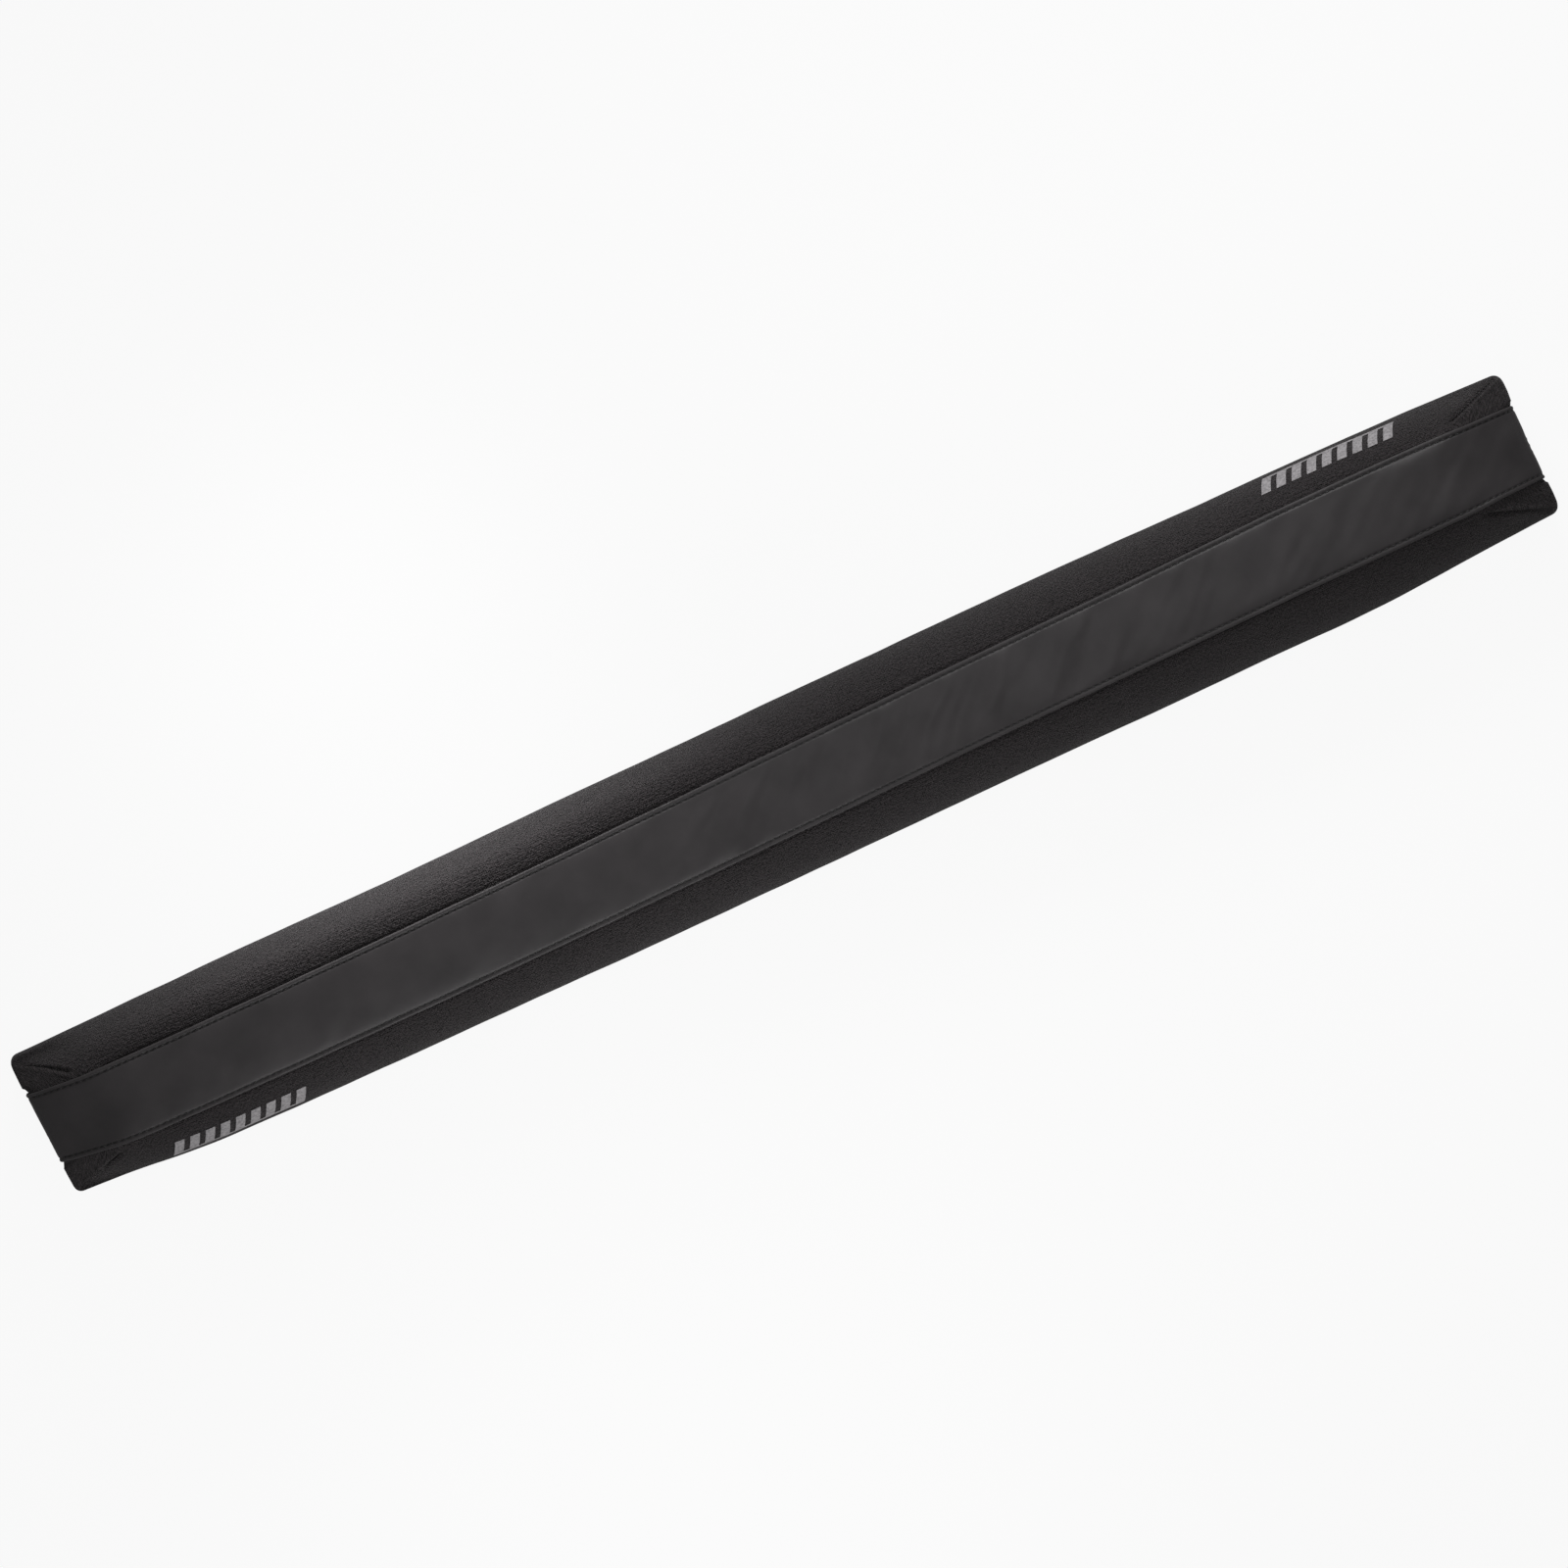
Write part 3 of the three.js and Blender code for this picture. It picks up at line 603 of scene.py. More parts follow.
PANEL_BLACK = (0.0245, 0.0198, 0.0214)
PANEL_PITCH = 0.00098  # of the yarns
panel_cloth = woven_cloth("woven_polyester", PANEL_BLACK, PANEL_PITCH, 0.85, 0.08, 0.72, 1.2, 1.1)
panel_grid, panel_run, panel_across = panel_surface()
grid_columns = panel_grid.shape[1]
upper_y = -panel_grid[:int(np.argmin(panel_grid[:, grid_columns // 2, 1])), grid_columns // 2, 1]
dressed = {}
panel_normals = {}
for side, seed in (("front", 0.0), ("rear", 31.0)):
    shaped = dress_panel(panel_grid, panel_across, side, seed)
    shaped = settle(turned_to(shaped, side))
    shaped[..., 2] = np.maximum(shaped[..., 2], 0)
    dressed[side] = shaped
    panel_normals[side] = surface_normals(shaped)
    panel = cloth_from(shaped, panel_run, panel_across, f"panel_{side}")
    point_outwards(panel, (0, OUTWARD[side], 0.3))
    apply_modifier(panel, "SOLIDIFY", thickness=PANEL_THICKNESS, offset=-1, use_even_offset=False)
    smooth(panel)
    finish_piece(panel, f"panel_{side}", panel_cloth, "woven_cloth", f"side_panel_{side}")


# The wear strip: a band of coated cloth with its edges turned under, stitched down over both panels.
# It follows the crown, falls with the nose and turns down over both ends.
STRIP_HALF = (17.6, 18.1, 18.4, 18.5, 18.7, 18.9, 19.1, 19.1, 19.2, 19.5, 19.6, 19.2, 18.4)
STRIP_LIFT = 0.0003
STRIP_THICKNESS = 0.0012
STRIP_END_Z = 0.0299
HEM_LIFT = 0.00045
SEAM_INSET = 0.0022
SEAM_DIP = 0.0003
NEEDLE_DIP = 0.0004
STITCH_PITCH = 0.00345
COLUMNS_PER_STITCH = 4
EDGE_WANDER = 0.0002
EDGE_FALL = 0.0006  # the hem's fold, rounded off at the very edge
SEAM_HALF_WIDTH = 0.0005
HEM_RUN = 0.0008
RIPPLE = 0.0009
RIPPLE_SCALE = (0.016, 0.035, 1)
FINE_RIPPLE_SCALE = (0.008, 0.012, 1)
STRIP_BLEND = 0.0015  # how softly the strip passes from the nose to the flank's round


def strip_surface():
    """The strip's upper face as a grid: rows across it, columns along it."""
    x, z = side_profile()
    keep = z >= STRIP_END_Z
    wall_x, wall_z = np.append(x[keep], cover_end), np.append(z[keep], STRIP_END_Z)
    top_x = np.linspace(0, wall_x[0], 400)[:-1]
    half_x = np.concatenate([top_x, wall_x])
    half_z = np.concatenate([crown_at(top_x), wall_z])
    length = along(np.stack([half_x, half_z], axis=1))
    stitches = round(length[-1] / STITCH_PITCH)
    steps = np.linspace(0, length[-1], stitches * COLUMNS_PER_STITCH + 1)
    right_x, right_z = np.interp(steps, length, half_x), np.interp(steps, length, half_z)
    run_x = np.concatenate([-right_x[:0:-1], right_x])
    run_z = np.concatenate([right_z[:0:-1], right_z])
    run_along = np.concatenate([-steps[:0:-1], steps])
    half = STRIP_WIDTH / 2
    seam = half - SEAM_INSET
    offsets = np.concatenate([
        np.linspace(0, seam - 0.0013, 11),
        seam + np.array([-0.0007, -0.00025, 0.00025, 0.0007]),
        np.linspace(seam + 0.0012, half - 0.0004, 4),
        [half - 0.00015, half],
    ])
    offsets = np.concatenate([-offsets[:0:-1], offsets])
    wander = rumple(np.stack([run_x, run_x * 0, run_x * 0], axis=1), (0.03, 1, 1), 5.0)
    breadth = curve_through(STRIP_HALF, run_x) / (half * fullness_at(run_x))
    y = offsets[:, None] * breadth[None, :]
    y += EDGE_WANDER * wander[None, :] * (np.abs(offsets)[:, None] / half)
    wide = cover_side * narrowing_at(run_x)
    rise = 1 - (np.abs(y) / wide) ** SQUARENESS
    flank_z = (WAIST_Z + (crown_z - WAIST_Z) * rise ** (1 / SQUARENESS)) * crown_at(run_x) / crown_z
    apart = np.clip(0.5 + 0.5 * (run_z[None, :] - flank_z) / STRIP_BLEND, 0, 1)
    height = run_z[None, :] * (1 - apart) + flank_z * apart - STRIP_BLEND * apart * (1 - apart)
    grid = np.stack([np.broadcast_to(run_x, y.shape), y, height], axis=2)
    return tuck_ends(grid), run_along, offsets


strip_grid, strip_run, strip_offsets = strip_surface()
strip_normals = -surface_normals(strip_grid)  # its rows run the other way
strip_pitch = strip_run[COLUMNS_PER_STITCH] - strip_run[0]
edge_inset = STRIP_WIDTH / 2 - np.abs(strip_offsets)[:, None]
end_inset = strip_run[-1] - np.abs(strip_run)[None, :]
inset = np.minimum(edge_inset, end_inset)
hem = HEM_LIFT * smooth_step(SEAM_INSET, SEAM_INSET - HEM_RUN, inset)
hem *= 1 - 0.6 * smooth_step(cover_end - 0.009, cover_end - 0.004, np.abs(strip_grid[..., 0]))
hem -= SEAM_DIP * hump(inset - SEAM_INSET, SEAM_HALF_WIDTH)
hem -= EDGE_FALL * smooth_step(0.0005, 0, inset)
# the ripples are strongest in the middle, and weakest at the left end
ripple_size = 0.35 + 0.9 * smooth_step(-0.12, -0.03, strip_grid[..., 0])
ripple_size -= 0.4 * smooth_step(0.12, 0.25, strip_grid[..., 0])
slanting = strip_grid - strip_grid[..., 1:2] * (1.0, 0, 0)
ripples = rumple(slanting, RIPPLE_SCALE, 3.0) + 0.4 * rumple(slanting, FINE_RIPPLE_SCALE, 9.0)
inside = smooth_step(SEAM_INSET, SEAM_INSET + 0.004, inset)
strip_level = STRIP_LIFT + STRIP_THICKNESS + hem + RIPPLE * ripples * ripple_size * inside
needle = (0.5 + 0.5 * np.cos(2 * math.pi * strip_run / strip_pitch)) ** 2
holes = NEEDLE_DIP * needle[None, :] * hump(edge_inset - SEAM_INSET, SEAM_HALF_WIDTH)
strip_top = settle(strip_grid + strip_normals * (strip_level - holes)[..., None])
strip = cloth_from(strip_top, strip_run, strip_offsets, "strip")
point_outwards(strip, (0, 0, 1))
apply_modifier(strip, "SOLIDIFY", thickness=STRIP_THICKNESS, offset=-1)
smooth(strip)

COATED_BLACK = (0.0315, 0.0283, 0.0297)
coated, coated_shader = new_material("coated_cloth", COATED_BLACK, 0.5, 0.32)
coated_place = add_node(coated, "ShaderNodeTexCoord").outputs["UV"]
coated_split = add_node(coated, "ShaderNodeSeparateXYZ", i0=coated_place)
from_middle = math_node(coated, "ABSOLUTE", coated_split.outputs["Y"])
from_seam = math_node(coated, "SUBTRACT", from_middle, STRIP_WIDTH / 2 - SEAM_INSET)
seam_steps = math_node(coated, "DIVIDE", from_seam, 0.0006)
seam_fall = math_node(coated, "MULTIPLY", math_node(coated, "MULTIPLY", seam_steps, seam_steps), -1.0)
on_seam = math_node(coated, "EXPONENT", seam_fall)
# painted shade: the base colour is darkened at each needle hole along the seam rows, standing in for the
# shade inside the holes
hole_turns = math_node(coated, "MULTIPLY", coated_split.outputs["X"], 2 * math.pi / strip_pitch)
hole_wave = math_node(coated, "COSINE", hole_turns)
hole_share = math_node(coated, "MULTIPLY_ADD", hole_wave, 0.35, 0.5)
hole_depth = math_node(coated, "MULTIPLY", on_seam, hole_share)
painted_hole_shade = math_node(coated, "MULTIPLY_ADD", hole_depth, -0.75, 1.0)
# painted highlight: the hem beyond each seam row is lightened a little, standing in for the light its
# rounded lip catches
painted_hem_highlight = add_node(coated, "ShaderNodeMapRange", Value=from_seam, i1=0.0006, i2=0.0014, i3=1.0, i4=1.08)
grain = add_node(coated, "ShaderNodeTexNoise", Vector=coated_place, Scale=1800.0, Detail=4.0)
blotch = add_node(coated, "ShaderNodeTexNoise", Vector=coated_place, Scale=45.0, Detail=3.0)
coat_tint = add_node(coated, "ShaderNodeMapRange", Value=blotch.outputs["Fac"],
                     i1=0.3, i2=0.7, i3=0.82, i4=1.2)
coat_factor = math_node(coated, "MULTIPLY", coat_tint.outputs[0], painted_hem_highlight.outputs[0])
coat_factor = math_node(coated, "MULTIPLY", coat_factor, painted_hole_shade)
coat_colour = vector_node(coated, "SCALE", i0=COATED_BLACK, i3=coat_factor)
link(coated, coat_colour, coated_shader.inputs["Base Color"])
coat_relief = add_node(coated, "ShaderNodeBump", Height=grain.outputs["Fac"], Strength=0.25,
                       Distance=0.0002)
link(coated, coat_relief.outputs[0], coated_shader.inputs["Normal"])
finish_piece(strip, "wear_strip_cloth", coated, "coated_cloth", "wear_strip")


# The sewing on top: black nylon thread, in two rows along the strip, one across each of its ends,
# and one in each dart. Every stitch dives into a needle hole at both its ends.
THREAD_RADIUS = 0.00027
THREAD_SHARE = 0.68  # of the pitch
THREAD_SLANT = 0.12
THREAD_BLACK = (0.02, 0.019, 0.0195)
DART_PITCH = 0.0021
DART_THREAD_RADIUS = 0.00026
DART_THREAD_LIFT = 0.0004
thread_black, thread_shader = new_material("nylon_thread", THREAD_BLACK, 0.5, 0.4)
thread_place = add_node(thread_black, "ShaderNodeTexCoord").outputs["Object"]
plies = add_node(thread_black, "ShaderNodeTexWave", Scale=520.0, Distortion=0.5, Vector=thread_place)
plies.bands_direction = "DIAGONAL"
ply_shade = math_node(thread_black, "MULTIPLY_ADD", plies.outputs["Fac"], 0.7, 0.65)
ply_colour = vector_node(thread_black, "SCALE", i0=THREAD_BLACK, i3=ply_shade)
link(thread_black, ply_colour, thread_shader.inputs["Base Color"])
ply_relief = add_node(thread_black, "ShaderNodeBump", Height=plies.outputs["Fac"], Strength=0.5,
                      Distance=0.0001)
link(thread_black, ply_relief.outputs[0], thread_shader.inputs["Normal"])


def model_stitch(length, radius, dive):
    """One stitch along X: a grain of thread whose ends bend down."""
    bpy.ops.object.select_all(action="DESELECT")
    bpy.ops.mesh.primitive_uv_sphere_add(segments=6, ring_count=5, radius=1)
    stitch = bpy.context.object
    ball = vertices_of(stitch)
    spread = np.sign(ball[:, 2]) * np.abs(ball[:, 2]) ** 0.8
    grain_shape = np.stack([spread * length / 2, ball[:, 0] * radius, ball[:, 1] * radius], axis=1)
    grain_shape[:, 2] -= dive * spread**4
    place_vertices(stitch, grain_shape)
    bpy.ops.object.mode_set(mode="EDIT")
    bpy.ops.mesh.select_all(action="SELECT")
    bpy.ops.mesh.normals_make_consistent(inside=False)
    bpy.ops.object.mode_set(mode="OBJECT")
    bpy.ops.object.shade_smooth()
    return stitch


def sew_row(line, ups, length, pitch, slant=THREAD_SLANT, radius=THREAD_RADIUS):
    """A row of stitches along a line of points, whose places along it are given as lengths."""
    count = max(int(round((length[-1] - length[0]) / pitch)), 1)
    step = (length[-1] - length[0]) / count
    model = model_stitch(step * THREAD_SHARE, radius, radius)
    row = []
    for k in range(count):
        middle = length[0] + (k + 0.5) * step
        start, end = [Vector([np.interp(middle + s * step, length, line[:, i]) for i in range(3)])
                      for s in (-0.4, 0.4)]
        up = Vector([np.interp(middle, length, ups[:, i]) for i in range(3)])
        forward = (end - start).normalized()
        sideways = up.cross(forward).normalized()
        forward = (forward + sideways * slant).normalized()
        sideways = up.cross(forward).normalized()
        turned = Matrix((forward, sideways, forward.cross(sideways))).transposed().to_4x4()
        turned.translation = (start + end) / 2
        stitch = bpy.data.objects.new("stitch", model.data.copy())
        stitch.data.transform(turned)
        bpy.context.collection.objects.link(stitch)
        row.append(stitch)
    bpy.data.objects.remove(model)
    return row


def join_thread(stitches, name, slot):
    bpy.ops.object.select_all(action="DESELECT")
    for stitch in stitches:
        stitch.select_set(True)
    bpy.context.view_layer.objects.active = stitches[0]
    bpy.ops.object.join()
    thread = bpy.context.object
    finish_piece(thread, name, thread_black, slot)


strip_seams = settle(strip_grid + strip_normals * (strip_level + 0.0001)[..., None])
seam_rows = np.where(np.abs(np.abs(strip_offsets) - (STRIP_WIDTH / 2 - SEAM_INSET)) < 0.0003)[0]
first_column = COLUMNS_PER_STITCH
strip_thread = []
for pair in (seam_rows[:2], seam_rows[2:]):
    span = slice(first_column, len(strip_run) - first_column)
    seam_line = strip_seams[pair].mean(axis=0)[span]
    seam_ups = strip_normals[pair].mean(axis=0)[span]
    strip_thread += sew_row(seam_line, seam_ups, strip_run[span], strip_pitch)
inner_rows = slice(seam_rows[0], seam_rows[-1] + 1)
for column in (first_column - 1, len(strip_run) - first_column):
    seam_line = strip_seams[inner_rows, column]
    seam_ups = strip_normals[inner_rows, column]
    strip_thread += sew_row(seam_line, seam_ups, along(seam_line), strip_pitch)
join_thread(strip_thread, "strip_stitches", "coated_cloth")

dart_thread = []
for side in ("front", "rear"):
    upper = dressed[side][..., 2] > DART_FLOOR
    cloth_points, cloth_ups = dressed[side][upper], panel_normals[side][upper]
    for start, tip in DARTS[side]:
        seam_line, seam_ups = [], []
        for share in np.linspace(0.04, 0.94, 40):
            over = np.array(start) * (1 - share) + np.array(tip) * share
            distance = np.linalg.norm(cloth_points[:, :2] - over, axis=1)
            near = np.argsort(distance)[:4]
            weight = 1 / (distance[near] + 0.0001)
            weight = weight[:, None] / weight.sum()
            seam_line.append([*over, (cloth_points[near, 2:] * weight).sum()])
            seam_ups.append((cloth_ups[near] * weight).sum(axis=0))
        seam_line, seam_ups = np.array(seam_line), np.array(seam_ups)
        dart_thread += sew_row(seam_line + seam_ups * DART_THREAD_LIFT, seam_ups, along(seam_line),
                               DART_PITCH, slant=0.3, radius=DART_THREAD_RADIUS)
join_thread(dart_thread, "dart_stitches", "woven_cloth")


# The marks: two rows of slanted bars standing on a line, screen-printed in pale grey ink.
# One is on the front flank near the left end, the other on the rear flank near the right end.
MARK_STARTS = {"front": -0.329, "rear": -0.3247}
MARK_LENGTH = 0.070
MARK_LOW_Y = 0.0372
MARK_HIGH_Y = 0.0298
MARK_BARS = 9
MARK_BAR_SHARE = 0.62
MARK_SLANT = 0.004
MARK_RAIL = 0.0016
INK_LIFT = 0.00022
INK_THICKNESS = 0.0001
INK_GREY = (0.33, 0.315, 0.325)
FLANK_SPAN = slice(END_COLUMNS + CORNER_COLUMNS, -END_COLUMNS - CORNER_COLUMNS)


def on_panel(side, x, across):
    """A film's thickness above a dressed panel: each row of x lies at one place across the cloth."""
    film = np.zeros((*x.shape, 3))
    raised = dressed[side] + panel_normals[side] * INK_LIFT
    for row, (places, depth) in enumerate(zip(x, across)):
        upper = int(np.searchsorted(panel_across, depth)) - 1
        share = (depth - panel_across[upper]) / (panel_across[upper + 1] - panel_across[upper])
        for near, weight in ((upper, 1 - share), (upper + 1, share)):
            near_x = panel_grid[near, FLANK_SPAN, 0]
            for axis in range(3):
                near_points = raised[near, FLANK_SPAN, axis]
                film[row, :, axis] += weight * np.interp(places, near_x, near_points)
    return film


across_high, across_low = np.interp((MARK_HIGH_Y, MARK_LOW_Y), upper_y, panel_across[:len(upper_y)])
rail_across = across_low - MARK_RAIL
bar_pitch = (MARK_LENGTH - MARK_SLANT) / (MARK_BARS - 1 + MARK_BAR_SHARE)
grey_ink, ink_shader = new_material("screen_ink", INK_GREY, 0.6, 0.35)
ink_place = add_node(grey_ink, "ShaderNodeTexCoord").outputs["Object"]
worn = add_node(grey_ink, "ShaderNodeTexNoise", Vector=ink_place, Scale=900.0, Detail=3.0)
ink_share = add_node(grey_ink, "ShaderNodeMapRange", Value=worn.outputs["Fac"],
                     i1=0.3, i2=0.62, i3=0.55, i4=1.08)
ink_colour = vector_node(grey_ink, "SCALE", i0=INK_GREY, i3=ink_share.outputs[0])
link(grey_ink, ink_colour, ink_shader.inputs["Base Color"])
ink_relief = add_node(grey_ink, "ShaderNodeBump", Height=worn.outputs["Fac"], Strength=0.5,
                      Distance=0.0002)
link(grey_ink, ink_relief.outputs[0], ink_shader.inputs["Normal"])
for side in ("front", "rear"):
    patches = []
    for bar in range(MARK_BARS + 1):
        if bar < MARK_BARS:
            down = np.linspace(across_high, rail_across, 10)
            left = MARK_STARTS[side] + bar_pitch * bar
            over = left + np.linspace(0, bar_pitch * MARK_BAR_SHARE, 5)
        else:
            down = np.linspace(rail_across, across_low, 3)
            over = MARK_STARTS[side] + np.linspace(0, MARK_LENGTH - MARK_SLANT, 60)
        slant = MARK_SLANT * (across_low - down) / (across_low - across_high)
        film_x = over[None, :] + slant[:, None]
        patches.append(cloth_from(on_panel(side, film_x, down), film_x, down, "ink"))
    bpy.ops.object.select_all(action="DESELECT")
    for patch in patches:
        point_outwards(patch, (0, OUTWARD[side], 0.3))
        patch.select_set(True)
    bpy.context.view_layer.objects.active = patches[0]
    bpy.ops.object.join()
    mark = bpy.context.object
    apply_modifier(mark, "SOLIDIFY", thickness=INK_THICKNESS, offset=1)
    finish_piece(mark, f"mark_{side}", grey_ink, "grey_ink", f"print_{side}")


# The channel liner: one length of plain cloth, folded to an upside-down U between the foam legs.
# Its lower edges are sewn in beside the feet, and its ends are turned back.
CHANNEL_HALF = 0.018
LINER_THICKNESS = 0.0008
LINER_BOTTOM = 0.0072
LINER_CEILING = 0.0299
LINER_CORNER = 0.0014
LINER_END = cover_end - END_TUCK - 0.0004
LINER_BLACK = (0.013, 0.0125, 0.013)
LINER_PITCH = 0.0006  # of the yarns
liner_cloth = woven_cloth("liner_cloth", LINER_BLACK, LINER_PITCH, 0.4, 0.15, 0.85, 0.4, 0.2)


def tube_line(points, rounding, spacing):
    """A line of (y, z) points with its bends rounded, in even steps."""
    line = [np.array(points[0])]
    for before, here, after in zip(points, points[1:], points[2:]):
        before, here, after = np.array(before), np.array(here), np.array(after)
        into, out = here - before, after - here
        reach = min(rounding, 0.45 * np.linalg.norm(into), 0.45 * np.linalg.norm(out))
        start = here - into / np.linalg.norm(into) * reach
        end = here + out / np.linalg.norm(out) * reach
        for t in np.linspace(0, 1, 5):
            line.append(start * (1 - t) ** 2 + 2 * here * t * (1 - t) + end * t**2)
    line.append(np.array(points[-1]))
    line = np.array(line)
    length = along(line)
    steps = np.linspace(0, length[-1], int(length[-1] / spacing))
    even = np.stack([np.interp(steps, length, line[:, axis]) for axis in (0, 1)], axis=1)
    return even, steps


def long_sheet(line, end_x, columns, unevenness, seed):
    """A line of (y, z) points run along the pad, with each row's own reach in x."""
    spread = np.linspace(-1, 1, columns)
    x = np.asarray(end_x).reshape(-1, 1) * spread[None, :]
    y, z = (np.broadcast_to(line[:, axis:axis + 1], x.shape) for axis in (0, 1))
    grid = np.stack([x, y, z], axis=2)
    lift = unevenness * rumple(grid, (0.03, 0.012, 0.012), seed)
    return grid + surface_normals(grid) * lift[..., None]


liner_line, liner_across = tube_line(
    [(-CHANNEL_HALF, LINER_BOTTOM), (-CHANNEL_HALF, LINER_CEILING), (CHANNEL_HALF, LINER_CEILING),
     (CHANNEL_HALF, LINER_BOTTOM)], LINER_CORNER, 0.0022)
liner_grid = long_sheet(liner_line, np.full(len(liner_line), LINER_END), 260, 0.0001, 41.0)
liner = cloth_from(settle(liner_grid), liner_grid[0, :, 0], liner_across, "liner")
point_outwards(liner, (0, 0, -1))
apply_modifier(liner, "SOLIDIFY", thickness=LINER_THICKNESS, offset=-1, use_even_offset=True)
smooth(liner)
finish_piece(liner, "liner", liner_cloth, "liner_cloth", "channel_liner")


# The closure: two flaps of the liner's cloth with turned and stitched edges, sewn in beside the liner.
# The front one carries the hook tape and dips under the rear one, which carries the loop tape.
FLAP_THICKNESS = 0.0011
FLAP_END = 0.3703
FLAP_CORNER = 0.005
TONGUE_Y = 0.0197
TONGUE_TOP = 0.0149
UPPER_FLAP_MID = 0.0063
LOWER_FLAP_MID = 0.0014
FLAP_EDGES = {"front": 0.016, "rear": 0.01275}
FLAP_HEM = 0.0045
TAPE_THICKNESS = 0.0014
TAPE_HALF_LENGTH = 0.3643
TAPE_EDGES = (-0.0115, 0.0135)
HOOK_TAPE_Z = 0.0023
LOOP_TAPE_Z = 0.0040
HEM_SEAM_INSET = 0.0012
TAPE_SEAM_INSET = 0.0016
SEAM_POINTS = 200
FOOT_SEAM_END = 0.36
FOOT_SEAM_Z = 0.00022
FLAP_THREAD_RADIUS = 0.00018
FOOT_THREAD_RADIUS = 0.0002

flap_paths = {
    "front": [(-TONGUE_Y, TONGUE_TOP), (-TONGUE_Y, UPPER_FLAP_MID), (-0.0172, UPPER_FLAP_MID),
              (-0.0122, LOWER_FLAP_MID), (FLAP_EDGES["front"], LOWER_FLAP_MID)],
    "rear": [(-TONGUE_Y, TONGUE_TOP), (-TONGUE_Y, UPPER_FLAP_MID), (FLAP_EDGES["rear"], UPPER_FLAP_MID)],
}


def sew_underneath(end_x, y, z, radius):
    """A straight row of stitches under the pad, from end to end, as seen from below."""
    seam_x = np.linspace(-end_x, end_x, SEAM_POINTS)
    seam_line = np.stack([seam_x, np.full(SEAM_POINTS, y), np.full(SEAM_POINTS, z)], axis=1)
    seam_ups = np.broadcast_to((0.0, 0.0, -1.0), seam_line.shape)
    return sew_row(settle(seam_line), seam_ups, seam_x, STITCH_PITCH, radius=radius)


under_thread = []
for side, path in flap_paths.items():
    flap_line, flap_across = tube_line(path, 0.0009, 0.0014)
    from_free = flap_across[-1] - flap_across
    cut = np.clip(FLAP_CORNER - from_free, 0, None)
    reach = FLAP_END - FLAP_CORNER + np.sqrt(np.clip(FLAP_CORNER**2 - cut**2, 0, None))
    flap_grid = long_sheet(flap_line, reach, 330, 0.00008, 50.0)
    hem_fold = smooth_step(FLAP_HEM + 0.0006, FLAP_HEM - 0.0006, from_free)[:, None]
    hem_fold = np.maximum(hem_fold, smooth_step(FLAP_END - FLAP_HEM, FLAP_END - FLAP_HEM + 0.001,
                                                np.abs(flap_grid[..., 0])))
    underside = np.abs(flap_line[:, 1] - flap_line[-1, 1]) < 0.0003
    flap_grid[..., 2] -= 0.0002 * hem_fold * underside[:, None] * (side == "front")
    rows_of_y = [FLAP_EDGES[side] - FLAP_HEM + HEM_SEAM_INSET]
    if side == "front":
        rows_of_y += [TAPE_EDGES[0] + TAPE_SEAM_INSET]
    thread_z = flap_line[-1, 1] - FLAP_THICKNESS / 2 - 0.0001
    for row_y in rows_of_y:
        row_y *= -OUTWARD[side]
        under_thread += sew_underneath(TAPE_HALF_LENGTH, row_y, thread_z, FLAP_THREAD_RADIUS)
    if side == "rear":
        flap_grid = flap_grid * (-1, -1, 1)
    flap = cloth_from(settle(flap_grid), flap_grid[..., 0], flap_across, f"flap_{side}")
    point_outwards(flap, (0, 0, -1))
    apply_modifier(flap, "SOLIDIFY", thickness=FLAP_THICKNESS, offset=0)
    smooth(flap)
    finish_piece(flap, f"flap_{side}", liner_cloth, "liner_cloth", f"closure_flap_{side}")

for side in ("front", "rear"):
    foot_y = OUTWARD[side] * FOOT_SEAM_Y
    under_thread += sew_underneath(FOOT_SEAM_END, foot_y, FOOT_SEAM_Z, FOOT_THREAD_RADIUS)
join_thread(under_thread, "closure_stitches", "liner_cloth")


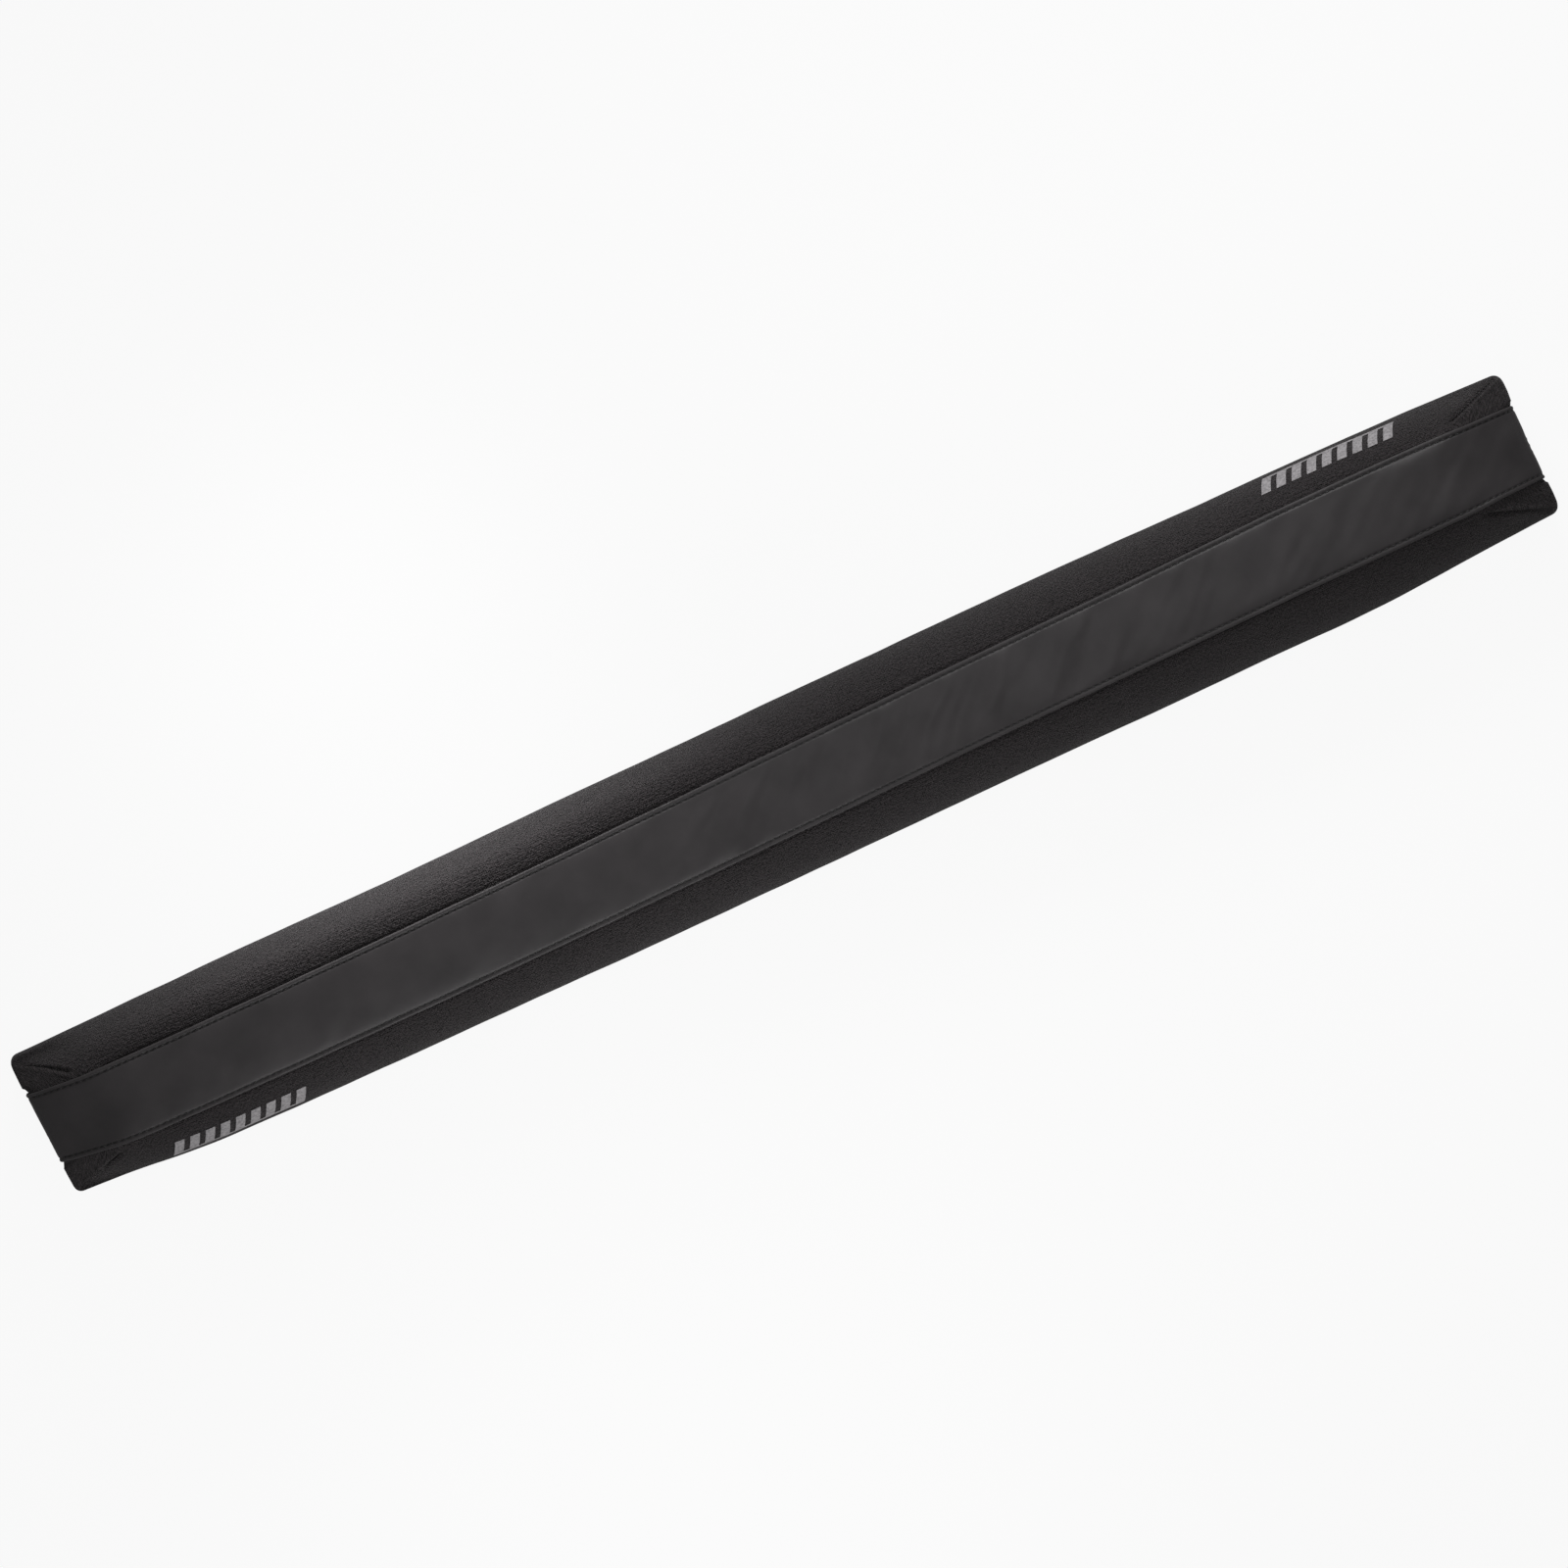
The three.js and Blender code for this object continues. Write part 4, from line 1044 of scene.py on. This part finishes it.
# The hook-and-loop tapes: nylon tape 25 mm wide, one face rough with hooks or brushed with loops.
# They are sewn along the flaps and lie face to face.
NAP_PITCH = 0.0012
NAP_HEIGHT = 0.00025
NAP_BASE = 0.0003  # what the nap takes up of the tape's thickness
TAPE_ROWS = 22
TAPE_COLUMNS = 600
WOVEN_THICKNESS = 0.0011
TAPE_SHADES = {"hook": 0.012, "loop": 0.016}


def tape_finish(name, colour, roughness, bump, sheen):
    nylon, shader = new_material(name, colour, roughness, 0.4)
    shader.inputs["Sheen Weight"].default_value = sheen
    place = add_node(nylon, "ShaderNodeTexCoord").outputs["Object"]
    nap = add_node(nylon, "ShaderNodeTexVoronoi", Vector=place, Scale=0.5 / NAP_PITCH).outputs["Distance"]
    shade = add_node(nylon, "ShaderNodeMapRange", Value=nap, i1=0.0, i2=0.8, i3=1.5, i4=0.5)
    link(nylon, vector_node(nylon, "SCALE", i0=colour, i3=shade.outputs[0]), shader.inputs["Base Color"])
    relief = add_node(nylon, "ShaderNodeBump", Height=nap, Strength=bump, Distance=0.0004)
    link(nylon, relief.outputs[0], shader.inputs["Normal"])
    return nylon


for kind, bottom, facing, roughness, sheen in (
    ("hook", HOOK_TAPE_Z, 1, 0.6, 0.0),
    ("loop", LOOP_TAPE_Z, -1, 0.95, 0.5),
):
    tape_y = np.linspace(*TAPE_EDGES, TAPE_ROWS)
    back = bottom + (TAPE_THICKNESS - NAP_BASE if facing > 0 else NAP_BASE)
    tape_line = np.stack([tape_y, np.full(TAPE_ROWS, back)], axis=1)
    tape_grid = long_sheet(tape_line, np.full(TAPE_ROWS, TAPE_HALF_LENGTH), TAPE_COLUMNS, 0, 0)
    rows, columns = np.indices(tape_grid.shape[:2])
    nap_zone = (rows > 1) * (rows < TAPE_ROWS - 2)
    tape_grid[..., 2] += facing * NAP_HEIGHT * nap_zone * ((rows + columns) % 2)
    tape = cloth_from(settle(tape_grid), tape_grid[0, :, 0], tape_y, kind)
    point_outwards(tape, (0, 0, facing))
    apply_modifier(tape, "SOLIDIFY", thickness=WOVEN_THICKNESS, offset=-1)
    smooth(tape, 30)
    shade = TAPE_SHADES[kind]
    nylon = tape_finish(f"{kind}_nylon", (shade, shade, shade * 1.05), roughness, 0.6, sheen)
    finish_piece(tape, f"{kind}_side_tape", nylon, f"{kind}_nylon", f"{kind}_tape")
